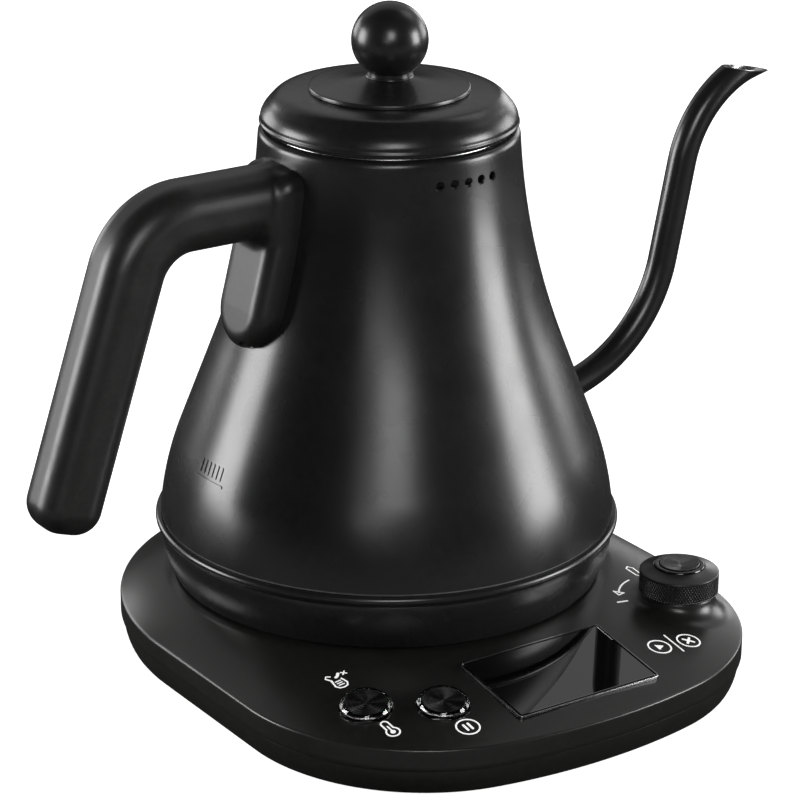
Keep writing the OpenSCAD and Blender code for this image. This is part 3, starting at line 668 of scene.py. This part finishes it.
def dial():
    place = move(DIAL.x, DIAL.y, 0)
    low, high = corners("dial_knob")
    r = (high.x - low.x) / 2
    side = [(r - 0.3, low.z), (r, low.z + 0.3)]
    rows = 40
    side += [(r, KNURL_LOW + (KNURL_HIGH - KNURL_LOW) * k / rows) for k in range(rows + 1)]
    side += arc((r - 0.35, 30.25), 0.35, 0, 70, 4)
    crest = [(12.4, 30.75), (10.8, 31.3), (9.2, 31.9), (8.7, 32.2)]
    inside = [(8.45, 32.1), (8.45, 31.6), (6.85, 31.6), (6.85, 29.6), (3.03, 29.6), (3.03, 23.9),
              (5.2, 23.9), (5.2, 27.2), (11.4, 27.2), (11.4, low.z)]
    knob = lathe("dial_grip", side + crest + inside, GLOSS, place, KNURL_COUNT * 8, knurl, crease=50)
    settle(knob, "dial", "dial_black", "dial_knob")
    ring = lathe("dial_trim", rounded([(6.9, 31.62), (8.4, 31.62), (8.4, 32.75, 0.5), (6.9, 32.75, 0.25)], 5),
                 BRIGHT, place, 144)
    settle(ring, "dial", "bright_ring", "dial_ring")
    button = lathe("dial_dish", disc_outline(6.65, 30.5, 33.1, 32.72), SPUN, place, 128)
    settle(button, "dial_button", "spun_dark", "dial_button")


def on_crown(x, y, h):
    return (x, y, crown_at(x, y) + h)


def circle_path(x, y, r, count=40):
    return [(x + r * math.cos(math.tau * k / count), y + r * math.sin(math.tau * k / count))
            for k in range(count)]


def shifted(path, x, y):
    return [(x + u, y + v) for u, v in path]


def legends():
    """Plain printed symbols beside the controls, with no lettering. Their white print also glows faintly, as
    painted light.
    """
    line = 0.55
    pause_x, pause_y = -42.8, -109.2
    pause = [(circle_path(pause_x, pause_y, 3.7), line, True)]
    pause += [([(pause_x + x, pause_y - 1.4), (pause_x + x, pause_y + 1.4)], 0.8, False) for x in (-0.85, 0.85)]
    play_x, stop_x, start_y = 40.3, 52.3, -99.1
    start = [(circle_path(x, start_y, 3.8), line, True) for x in (play_x, stop_x)]
    start += [([(46.4, -93.7), (46.4, -104)], line, False)]
    start += [([(stop_x - s * 1.3, start_y - 1.3), (stop_x + s * 1.3, start_y + 1.3)], 0.85, False)
              for s in (-1, 1)]
    warm_x, warm_y = -63.7, -98.9
    bulb = arc((0, 0), 2.15, 125, 415, 24)
    stem = arc((0, 4.7), 1.25, 0, 180, 10)
    thermometer = [(shifted(bulb + stem, warm_x, warm_y), line, True),
                   ([(warm_x, warm_y), (warm_x, warm_y + 3.2)], 0.5, False),
                   ([(warm_x, warm_y), (warm_x, warm_y + 0.01)], 1.7, False)]
    jug_x, jug_y = -63.0, -67.6
    body = [(-1.6, 2.2), (-2.2, -1.2), (-1.4, -2.6), (0, -3), (1.4, -2.6), (2.2, -1.2), (1.7, 1.6)]
    jug = [(shifted(body, jug_x, jug_y), line, False),
           (shifted([(-1.6, 2.2), (-2.6, 4.2), (-1.8, 5.2), (-0.8, 4.4)], jug_x, jug_y), line, False)]
    jug += [(shifted([(-0.9, v), (0.9, v)], jug_x, jug_y), 0.45, False) for v in (-1.3, -0.2, 0.9)]
    jug += [(shifted([(0.6, 3.0), (1.4, 3.4), (2.2, 4.4)], jug_x, jug_y), 1.0, False),
            (shifted([(3.2, 3.0), (4.6, 4.4)], jug_x, jug_y), 0.45, False),
            (shifted([(4.6, 3.0), (3.2, 4.4)], jug_x, jug_y), 0.45, False)]
    sweep = arc((DIAL.x, DIAL.y), 19.8, 108, 142, 16)
    head = arc((DIAL.x, DIAL.y), 19.8, 147.5, 147.5, 1)[0]
    barbs = [arc((DIAL.x, DIAL.y), r, 141, 141, 1)[0] for r in (18.1, 21.5)]
    tick = [(45.7, -69.8), (49.4, -70.1)]
    cup = [(65.0, -49.4), (66.4, -48.2), (67.8, -49.4), (67.6, -54.6), (66.4, -55.8), (65.2, -54.6)]
    guide = [(sweep, line, False), ([barbs[0], head], line, False), ([barbs[1], head], line, False),
             ([barbs[0], barbs[1]], line, False), (tick, 0.75, False), (cup, line, True)]
    for name, strokes in (("legend_pause", pause), ("legend_start", start), ("legend_warm", thermometer),
                          ("legend_jug", jug), ("legend_dial", guide)):
        settle(raised(name, strokes, on_crown, 0.05, GLOWING_PRINT), "base", None)
    arrow = rounded([(play_x - 1.1, start_y + 1.55, 0.12), (play_x - 1.1, start_y - 1.55, 0.12),
                     (play_x + 1.7, start_y, 0.12)], 3)
    levels = [[on_crown(x, y, h) for x, y in arrow] for h in (-0.05, 0.05)]
    rows = numbered(2, len(levels[0]))
    faces = rows_to_faces(rows, closed_rows=False) + [list(rows[0]), list(rows[1])]
    settle(solid("legend_play", levels[0] + levels[1], faces, GLOWING_PRINT), "base", None)


# ---------- Vessel ----------

VESSEL_Z = corners("vessel")[0].z
RIM_TOP = corners("vessel")[1].z
FOOT_R = corners("vessel")[1].x
NECK_R = 42.7
NECK_Z = RIM_TOP - 2.1
FOOT_ANGLE = math.radians(5)
SIDE_ANGLE = math.radians(20.8)
NECK_ANGLE = math.radians(3.6)
BULGE_R = 106
BULGE_Z = VESSEL_Z + BULGE_R * (math.sin(SIDE_ANGLE) - math.sin(FOOT_ANGLE))
BULGE_END_R = FOOT_R - BULGE_R * (math.cos(FOOT_ANGLE) - math.cos(SIDE_ANGLE))
HOLLOW_R = ((BULGE_END_R - NECK_R) - (NECK_Z - BULGE_Z) * math.tan(SIDE_ANGLE)) / (
    (math.cos(NECK_ANGLE) - math.cos(SIDE_ANGLE))
    - (math.sin(SIDE_ANGLE) - math.sin(NECK_ANGLE)) * math.tan(SIDE_ANGLE))
HOLLOW_Z = NECK_Z - HOLLOW_R * (math.sin(SIDE_ANGLE) - math.sin(NECK_ANGLE))
HOLLOW_START_R = NECK_R + HOLLOW_R * (math.cos(NECK_ANGLE) - math.cos(SIDE_ANGLE))
MOUTH_R = 38.6
VENT_Z = 167.1
VENT_R = 1.35
VENT_BEARINGS = [1.7 + 6.9 * k for k in (-2, -1, 0, 1, 2)]


def vessel_side(grow=0.0, steps=20):
    """Outside of the vessel from its foot to its neck, moved out by grow."""
    points = []
    for k in range(steps + 1):
        a = FOOT_ANGLE + (SIDE_ANGLE - FOOT_ANGLE) * k / steps
        points.append((FOOT_R + grow - BULGE_R * (math.cos(FOOT_ANGLE) - math.cos(a)),
                       VESSEL_Z + BULGE_R * (math.sin(a) - math.sin(FOOT_ANGLE))))
    points.append((BULGE_END_R + grow + (HOLLOW_START_R - BULGE_END_R) / 2, (BULGE_Z + HOLLOW_Z) / 2))
    for k in range(steps * 2 + 1):
        a = SIDE_ANGLE + (NECK_ANGLE - SIDE_ANGLE) * k / (steps * 2)
        points.append((HOLLOW_START_R + grow - HOLLOW_R * (math.cos(a) - math.cos(SIDE_ANGLE)),
                       HOLLOW_Z + HOLLOW_R * (math.sin(SIDE_ANGLE) - math.sin(a))))
    return points


def vessel_radius(z):
    """Radius of the vessel's outside at height z."""
    if z < BULGE_Z:
        a = math.asin(math.sin(FOOT_ANGLE) + (z - VESSEL_Z) / BULGE_R)
        return FOOT_R - BULGE_R * (math.cos(FOOT_ANGLE) - math.cos(a))
    if z < HOLLOW_Z:
        return BULGE_END_R - (z - BULGE_Z) * math.tan(SIDE_ANGLE)
    a = math.asin((HOLLOW_Z - min(z, NECK_Z)) / HOLLOW_R + math.sin(SIDE_ANGLE))
    return HOLLOW_START_R - HOLLOW_R * (math.cos(a) - math.cos(SIDE_ANGLE))


def vent_cutters():
    """Vents with a small countersink, square to the neck."""
    outline = [(0, -6), (VENT_R, -6), (VENT_R, -0.25), (VENT_R + 0.4, 0.12), (VENT_R + 0.4, 3), (0, 3)]
    reach = vessel_radius(VENT_Z)
    return [lathe("vent", outline, None,
                  turn(bearing, "Z") @ move(0, -reach, VENT_Z) @ turn(90, "X"), 40)
            for bearing in VENT_BEARINGS]


def vessel():
    """Painted shell, and the bare steel inside it."""
    coat = 0.6
    outside = vessel_side()
    rim_turn = [(NECK_R - 0.12, NECK_Z + 0.7), (NECK_R - 0.45, NECK_Z + 1.35), (NECK_R - 0.95, NECK_Z + 1.85),
                (NECK_R - 1.6, RIM_TOP), (MOUTH_R + 0.95, RIM_TOP), (MOUTH_R + 0.95, RIM_TOP - 0.5),
                (NECK_R - 1.7, RIM_TOP - 0.5)]
    shell = lathe("vessel_shell", outside + rim_turn + vessel_side(-coat)[::-1], PAINT, turns=256)
    carve(shell, vent_cutters() + [spout_tube("root_cut", SPOUT_R + 0.02, None)])
    settle(shell, "kettle", "vessel_black", "vessel")
    inner = [(r, z) for r, z in vessel_side(-coat - 0.02) if z < NECK_Z - 0.5]
    inner_top = [(r, z) for r, z in vessel_side(-1.0) if z < NECK_Z - 0.5]
    lining = lathe("vessel_lining", inner + inner_top[::-1], STEEL, turns=192)
    carve(lining, vent_cutters() + [spout_tube("root_cut", SPOUT_R - 0.9, None)])
    settle(lining, "kettle", "inner_steel")
    low = corners("mouth_ring")[0]
    ring = rounded([(MOUTH_R, low.z, 0.2), (MOUTH_R + 0.9, low.z, 0.2), (MOUTH_R + 0.9, RIM_TOP + 0.3, 0.3),
                    (MOUTH_R, RIM_TOP + 0.3, 0.3)], 4)
    settle(lathe("mouth_collar", ring, STEEL), "kettle", "inner_steel", "mouth_ring")


def on_vessel(u, v, h):
    """Place on the handle's side: u round the vessel, v up it and h out of it."""
    reach = vessel_radius(v) + h
    a = math.pi + u / reach
    return (reach * math.cos(a), reach * math.sin(a), v)


def level_mark():
    """Raised fill line under a row of plain upright bars."""
    z = corners("level_mark")[0].z
    line = [(u, z + 0.5) for u in (-5.8, -2.8, 0.2, 3.2, 6.2, 9.3)]
    strokes = [(line, 0.9, False)]
    strokes += [([(-3.6 + 2.25 * k, z + 2.4), (-3.6 + 2.25 * k, z + 5.9)], 0.8, False) for k in range(6)]
    settle(raised("level_sign", strokes, on_vessel, 0.3, PAINT, 0.1), "kettle", "vessel_black", "level_mark")


def skirt():
    """Band around the kettle's foot, with a bead along its upper edge."""
    bead_r, bead_x, bead_z = 1.6, 76.4, 41
    outside = [(71.6, 22.6), (71.9, 22.6)]
    outside += soft_curve([(72.2, 22.8), (73.4, 25.5), (74.9, 29.5), (75.9, 33.5), (76.35, 37.6)])
    outside += rounded([(76.35, 38.05, 0.3), (75.7, 38.3, 0.15), (75.7, 39.2, 0.2), (76.2, 39.4)], 4)
    bead = arc((bead_x, bead_z), bead_r, -80, 52, 18)
    top = [(76.4, 42.3), (74.2, 42.3), (74.2, 38), (71.2, 22.6)]
    settle(lathe("skirt_band", outside + bead + top, PAINT, turns=256), "kettle", "vessel_black", "skirt")
    low, high = corners("skirt_seal")
    seal = rounded([(high.x - 1, low.z), (high.x, low.z, 0.2), (high.x, high.z, 0.2), (high.x - 1, high.z)], 3)
    settle(lathe("skirt_gasket", seal, SILICONE), "kettle", "seal_silicone", "skirt_seal")


# ---------- Spout, in the plane y = 0 ----------

SPOUT_R = 5.0
LEAN = math.radians(11.6)
LOW_BEND_R, TOP_BEND_R = 50.8, 40.6
SPOUT_X, SPOUT_Z, LOW_Z, HIGH_Z = 118.88, 125, 109.2, 143.35
ROOT_HEADING, TIP_HEADING = math.radians(19.7), math.radians(17)
ROOT_LEN, TIP_LEN = 17, 14
TIP_CUT = (150, 172.8)
TIP_TILT = 10.9
FLARE_LEN = 7.25


def flare(beyond):
    """How much wider the tube is, at a distance beyond the place where its mouth starts to flare."""
    return 0.0021 * max(beyond, 0) ** 2


def spout_stations():
    """Places (x, z), headings and flare along the spout's centre line."""
    low_x = SPOUT_X + (LOW_Z - SPOUT_Z) * math.tan(LEAN)
    high_x = SPOUT_X + (HIGH_Z - SPOUT_Z) * math.tan(LEAN)
    low_x, low_z = low_x - LOW_BEND_R * math.cos(LEAN), LOW_Z + LOW_BEND_R * math.sin(LEAN)
    top_x, top_z = high_x + TOP_BEND_R * math.cos(LEAN), HIGH_Z - TOP_BEND_R * math.sin(LEAN)
    upright = math.pi / 2 - LEAN
    steps = 28
    path = []
    for k in range(steps + 1):
        h = ROOT_HEADING + (upright - ROOT_HEADING) * k / steps
        path.append((low_x + LOW_BEND_R * math.sin(h), low_z - LOW_BEND_R * math.cos(h), h, 0))
    for k in range(steps + 1):
        h = upright + (TIP_HEADING - upright) * k / steps
        beyond = FLARE_LEN - TOP_BEND_R * (h - TIP_HEADING)
        path.append((top_x - TOP_BEND_R * math.sin(h), top_z + TOP_BEND_R * math.cos(h), h, flare(beyond)))
    first, last = path[0], path[-1]
    root = [(first[0] - d * math.cos(first[2]), first[1] - d * math.sin(first[2]), first[2], 0)
            for d in (ROOT_LEN, ROOT_LEN / 2)]
    tip = [(last[0] + d * math.cos(last[2]), last[1] + d * math.sin(last[2]), last[2], flare(FLARE_LEN + d))
           for d in (TIP_LEN * k / 5 for k in (1, 2, 3, 4, 5))]
    return root + path + tip


def spout_tube(name, outer, inner, material=None, sides=64):
    """Tube along the spout, or a rod if it has no inner radius."""
    stations = spout_stations()

    def ring(station, r):
        x, z, h, wider = station
        r += wider
        return [(x - r * math.cos(b) * math.sin(h), -r * math.sin(b), z + r * math.cos(b) * math.cos(h))
                for b in (math.tau * k / sides for k in range(sides))]

    rings = [ring(station, outer) for station in stations]
    if inner:
        rings += [ring(station, inner) for station in reversed(stations)]
    rows = numbered(len(rings), sides)
    faces = rows_to_faces(rows, closed_rows=bool(inner))
    if not inner:
        faces += [list(rows[0]), list(rows[-1])]
    return solid(name, [p for points in rings for p in points], faces, material)


def above_tip(drop):
    """Cutter for everything above the tip's slanted mouth."""
    place = move(TIP_CUT[0], 0, TIP_CUT[1] - drop) @ turn(TIP_TILT, "Y")
    return stack("tip_cut", [([(-30, -15), (45, -15), (45, 15), (-30, 15)], z) for z in (0, 25)], None, place)


def spout():
    """Painted tube around a bare steel one, whose edge shows at the mouth."""
    wall = 0.9
    painted = spout_tube("spout_neck", SPOUT_R, SPOUT_R - wall * 0.55, PAINT)
    carve(painted, [above_tip(0.1)])
    settle(painted, "kettle", "spout_black", "spout")
    lining = spout_tube("spout_lining", SPOUT_R - wall * 0.55 - 0.01, SPOUT_R - wall, BARE_RIM)
    carve(lining, [above_tip(0)])
    settle(lining, "kettle", "inner_steel")


# ---------- Handle, in the plane y = 0 ----------

BAR_W, BAR_CORNER, BAR_BEND_R = 22.5, 9.0, 22.0
ARM_Z, GRIP_X, GRIP_Z = 158.25, -112.9, 100.0
SLANT = math.radians(18.3)
GRIP_END_Z = 61.8
PAD_W, PAD_LOW, PAD_HIGH, PAD_SHOULDER = 28.0, 110.0, 169.3, 6.5
PAD_FACE = ((108, 62.2), (124, 58.6), (146, 53.0), (172, 49.5))
BRACKET_Z = 134


def box_distance(u, v, half_u, half_v, radius):
    """Distance to a rectangle with round corners."""
    a, b = np.abs(u) - (half_u - radius), np.abs(v) - (half_v - radius)
    return np.hypot(np.maximum(a, 0), np.maximum(b, 0)) + np.minimum(np.maximum(a, b), 0) - radius


def meet(a, b, radius):
    """Distance to where two solids meet, with the edge between them rounded."""
    u, v = a + radius, b + radius
    return np.hypot(np.maximum(u, 0), np.maximum(v, 0)) + np.minimum(np.maximum(u, v), 0) - radius


def blend(a, b, width):
    """Distance to two solids joined by a fillet."""
    near = np.maximum(width - np.abs(a - b), 0) / width
    return np.minimum(a, b) - near * near * width / 4


def bar_distance(x, y, z):
    """Distance to the handle's bar: level arm, bend and slanted grip with a round end."""
    corner_x = GRIP_X + (ARM_Z - GRIP_Z) * math.tan(SLANT)
    turned = math.pi / 2 - SLANT
    bend_len = BAR_BEND_R * math.tan(turned / 2)
    centre_x, centre_z = corner_x + bend_len, ARM_Z - BAR_BEND_R
    down_x, down_z = -math.sin(SLANT), -math.cos(SLANT)
    start_x, start_z = corner_x + bend_len * down_x, ARM_Z + bend_len * down_z
    length = (start_z - GRIP_END_Z) / math.cos(SLANT)
    along = (x - start_x) * down_x + (z - start_z) * down_z
    across = (x - start_x) * down_z - (z - start_z) * down_x
    in_bend = (x < centre_x) & (along < 0)
    offset = np.where(in_bend, np.hypot(x - centre_x, z - centre_z) - BAR_BEND_R,
                      np.where(along >= 0, across, z - ARM_Z))
    bar = box_distance(offset, y, BAR_W / 2, BAR_W / 2, BAR_CORNER)
    flat = BAR_W / 2 - BAR_CORNER
    past = [np.maximum(distance, 0) for distance in
            (np.abs(offset) - flat, np.abs(y) - flat, along - length + BAR_CORNER)]
    end = np.sqrt(past[0] ** 2 + past[1] ** 2 + past[2] ** 2) - BAR_CORNER
    return np.where(along > length - BAR_CORNER, end, bar)


def pad_distance(x, y, z):
    """Distance to the pad on the vessel: square shoulders, round foot and soft edges."""
    half = PAD_W / 2
    foot_z = PAD_LOW + half
    upper = box_distance(y, z - foot_z, half, PAD_HIGH - foot_z, PAD_SHOULDER)
    outline = np.where(z < foot_z, np.hypot(y, z - foot_z) - half, upper)
    heights, reaches = zip(*PAD_FACE)
    face = (-x - np.interp(z, heights, reaches)) * math.cos(math.radians(13))
    return meet(outline, face, 6.5)


def handle():
    """Bar and pad grown together, then fitted to the vessel, its bracket and its screws."""
    voxel = 0.6
    low = np.array((-139.0, -17.0, 55.0))
    count = (np.array((-36.0, 17.0, 175.0)) - low) / voxel
    x, y, z = (low.reshape(3, 1, 1, 1) + np.indices(count.astype(int)) * voxel)
    field = blend(bar_distance(x, y, z), pad_distance(x, y, z), np.interp(z, (150, 165), (5, 1.5)))
    field = np.maximum(field, x + 40) + 0.05
    grid = openvdb.FloatGrid(5.0)
    grid.copyFromArray(np.clip(field, -5, 5).astype(np.float32))
    points, quads = grid.convertToQuads(isovalue=0)
    shape = solid("handle_body", points * voxel + low, quads.tolist(), GRIP)
    block = [(0, VESSEL_Z)] + vessel_side(0.15) + [(0, NECK_Z)]
    carve(shape, [lathe("fit", block, None, turns=256)])
    pocket = at_bracket()
    cutters = [stack("pocket", [([(-2, -7.2), (6.3, -7.2), (6.3, 7.2), (-2, 7.2)], h) for h in (-16.2, 16.2)],
                     None, pocket)]
    for side in (-4.4, 4.4):
        bore = [(0, -30), (2.45, -30), (2.45, -18), (1.65, -18), (1.65, -10), (0, -10)]
        cutters.append(lathe("screw_bore", bore, None, pocket @ move(4, side, 0), 48))
    carve(shape, cutters)
    return settle(shape, "kettle", "handle_black", "handle")


def at_bracket():
    """Place on the vessel's side under the pad, with local +X outwards and +Z up the slope."""
    a = math.asin((HOLLOW_Z - BRACKET_Z) / HOLLOW_R + math.sin(SIDE_ANGLE))
    r = vessel_radius(BRACKET_Z)
    return turn(180, "Z") @ move(r, 0, BRACKET_Z) @ turn(-math.degrees(a), "Y")


# ---------- Lid ----------


def lid():
    low, high = corners("lid_cover")
    lid_r, lid_z, dome_z, wall = high.x, low.z, high.z, 1.0
    disc_r = corners("lid_disc")[1].x
    shoulder = [(0.42, 1.5), (0.5, 2.5), (0.9, 3.6), (1.5, 4.7), (2.3, 5.8), (3.3, 6.9), (4.4, 8.1),
                (5.6, 9.1), (7, 9.75), (9.2, 10.1), (12.2, 10.3), (lid_r - disc_r, dome_z - lid_z)]

    def side(inset):
        squash = 1 - inset / (dome_z - lid_z)
        return [(lid_r - inset - x, lid_z + z * squash) for x, z in soft_curve(shoulder)]

    lip = [(lid_r - wall - 0.4, lid_z + 0.6), (lid_r - wall - 0.3, lid_z + 0.1), (lid_r - 0.75, lid_z),
           (lid_r - 0.25, lid_z + 0.05), (lid_r - 0.05, lid_z + 0.25), (lid_r, lid_z + 0.5),
           (lid_r - 0.08, lid_z + 0.75), (lid_r - 0.3, lid_z + 1.05)]
    outline = lip + side(0) + [(2.3, dome_z), (2.3, dome_z - wall)] + side(wall)[::-1]
    settle(lathe("lid_dome", outline, PAINT, turns=256), "lid", "vessel_black", "lid_cover")

    saucer = [(disc_r - 0.1, 1.35), (disc_r - 0.45, 1.55), (24, 1.72), (21, 1.95), (18, 2.25), (15, 2.6),
              (12, 3.1), (10, 3.5), (8.6, 3.85), (7.5, 4.1)]
    edge = [(2.3, 0.02), (disc_r - 0.2, 0.02), (disc_r, 0.25), (disc_r, 1.1)]
    disc = [(x, dome_z + z) for x, z in edge + soft_curve(saucer) + [(2.3, 4.1)]]
    settle(lathe("lid_plate", disc, PAINT, turns=256), "lid", "vessel_black", "lid_disc")

    ball_low, ball_high = corners("lid_ball")
    ball_r = (ball_high.x - ball_low.x) / 2
    ball_z = ball_high.z - ball_r
    neck_r, foot_z = 7.3, dome_z + 4.14
    start = math.degrees(math.acos(neck_r / ball_r))
    neck = [(2.03, foot_z), (neck_r + 0.35, foot_z), (neck_r + 0.5, foot_z + 0.3),
            (neck_r + 0.35, foot_z + 0.6), (neck_r + 0.05, foot_z + 0.75), (neck_r, foot_z + 1.1)]
    ball = arc((0, ball_z), ball_r, -start, 90, 48)[:-1] + [(0, ball_high.z), (0, ball_z), (2.03, ball_z)]
    settle(lathe("lid_knob", neck + ball, PAINT, turns=160), "lid", "vessel_black", "lid_ball")

    # Black ring inside the lid's lip: painted shade, a dark piece that keeps the gap between lid and rim dark
    # by hiding the bright steel behind it.
    mouth_z = corners("mouth_ring")[1].z
    shade = rounded([(37.7, mouth_z + 0.15), (lid_r - 1.3, mouth_z + 0.15, 0.2), (lid_r - 1.3, lid_z + 0.6),
                     (37.7, lid_z + 0.6)], 3)
    settle(lathe("lid_gap_dark_ring", shade, PAINT, turns=192), "lid", "vessel_black")

    cup = rounded([(0, 163), (37.6, 163, 2), (37.6, 182), (36.6, 182), (36.6, 164, 1.2), (0, 164)], 5)
    settle(lathe("lid_cup", cup, STEEL, turns=192), "lid", "inner_steel", "lid_liner")


# ---------- Carried-over nodes, light, floor and camera ----------


def dress_nodes():
    """Gives every CAD node that still shows the finish of its slot."""
    finishes = other_finishes()
    for entry in frame["record"]["subparts"]:
        node = frame["nodes"][entry["node"]]
        if not node.hide_render:
            node.data.materials.clear()
            node.data.materials.append(finishes[entry["material_slot"]])


VIEW_TURN, VIEW_RISE, VIEW_ROLL = -34.239, 20.973, 0.487
CAMERA_AT = Vector((-0.56675, -0.84024, 0.47215))
LENS = 146.07


def camera():
    bearing, rise, roll = (math.radians(a) for a in (VIEW_TURN, VIEW_RISE, VIEW_ROLL))
    back = Vector((math.sin(bearing) * math.cos(rise), -math.cos(bearing) * math.cos(rise), math.sin(rise)))
    right = Vector((math.cos(bearing), math.sin(bearing), 0))
    up = back.cross(right)
    rolled = (right * math.cos(roll) + up * math.sin(roll), up * math.cos(roll) - right * math.sin(roll), back)
    data = bpy.data.cameras.new("camera")
    data.lens = LENS
    data.sensor_width = 36
    data.clip_end = 100
    eye = bpy.data.objects.new("camera", data)
    eye.matrix_world = Matrix.Translation(CAMERA_AT) @ Matrix(rolled).transposed().to_4x4()
    bpy.context.scene.collection.objects.link(eye)
    bpy.context.scene.camera = eye


# Softboxes: bearing from the camera's side (positive to its right), rise, width and height in degrees
# as seen from the kettle, and brightness
SOFTBOXES = {
    "left_box": (-92, 9, 26, 26, 12.0),
    "left_far_box": (-132, 8, 26, 20, 4.0),
    "back_box": (170, 40, 100, 50, 0.4),
    "right_box": (85, 9, 22, 26, 15.0),
    "right_far_box": (127, 8, 26, 20, 5.0),
    "right_back_box": (157, 8, 16, 16, 3.0),
    "front_box": (5, 28, 16, 20, 9.0),
    "front_low_box": (-7, 13, 16, 8, 3.0),
    "right_high_box": (127, 48, 20, 22, 1.0),
    "floor_glow": (0, -22, 130, 30, 0.22),
}
LIGHT_REACH = 2.5


def softbox(name, bearing, rise, wide, tall, brightness):
    """Area light that faces the kettle and covers the given angles."""
    a = math.radians(VIEW_TURN + bearing)
    e = math.radians(rise)
    way = Vector((math.sin(a) * math.cos(e), -math.cos(a) * math.cos(e), math.sin(e)))
    data = bpy.data.lights.new(name, "AREA")
    data.shape = "RECTANGLE"
    data.size = 2 * LIGHT_REACH * math.tan(math.radians(wide / 2))
    data.size_y = 2 * LIGHT_REACH * math.tan(math.radians(tall / 2))
    data.energy = brightness * math.pi * data.size * data.size_y
    lamp = bpy.data.objects.new(name, data)
    lamp.location = Vector((0, 0, 0.09)) + way * LIGHT_REACH
    lamp.rotation_euler = way.to_track_quat("Z", "Y").to_euler()
    bpy.context.scene.collection.objects.link(lamp)


def studio():
    for name, box in SOFTBOXES.items():
        softbox(name, *box)
    scene = bpy.context.scene
    scene.view_settings.view_transform = "Standard"
    world = bpy.data.worlds.new("studio")
    scene.world = world
    world.use_nodes = True
    world.node_tree.nodes["Background"].inputs["Color"].default_value = (1, 1, 1, 1)
    world.node_tree.nodes["Background"].inputs["Strength"].default_value = 0.02


def floor():
    """Pale round floor, wide enough to fill the view. It throws no light back on the kettle;
    the floor_glow light stands in for it."""
    finish = Finish("pale_floor", Base_Color=(0.9, 0.9, 0.9, 1), Emission_Color=(1, 1, 1, 1),
                    Emission_Strength=0.9, Specular_IOR_Level=0.0)
    finish.roughness(finish.noise(80), 0.8, 0.9)
    low = -GROUND - 20
    ground = lathe("floor", [(0, low), (15000, low), (15000, -GROUND), (0, -GROUND)], finish.material, turns=96)
    ground.visible_glossy = False
    ground.visible_diffuse = False
    ground.visible_shadow = False


camera()
top_cover()
bottom_cover()
display()
buttons()
dial()
legends()
vessel()
level_mark()
skirt()
spout()
handle()
lid()
dress_nodes()
studio()
floor()
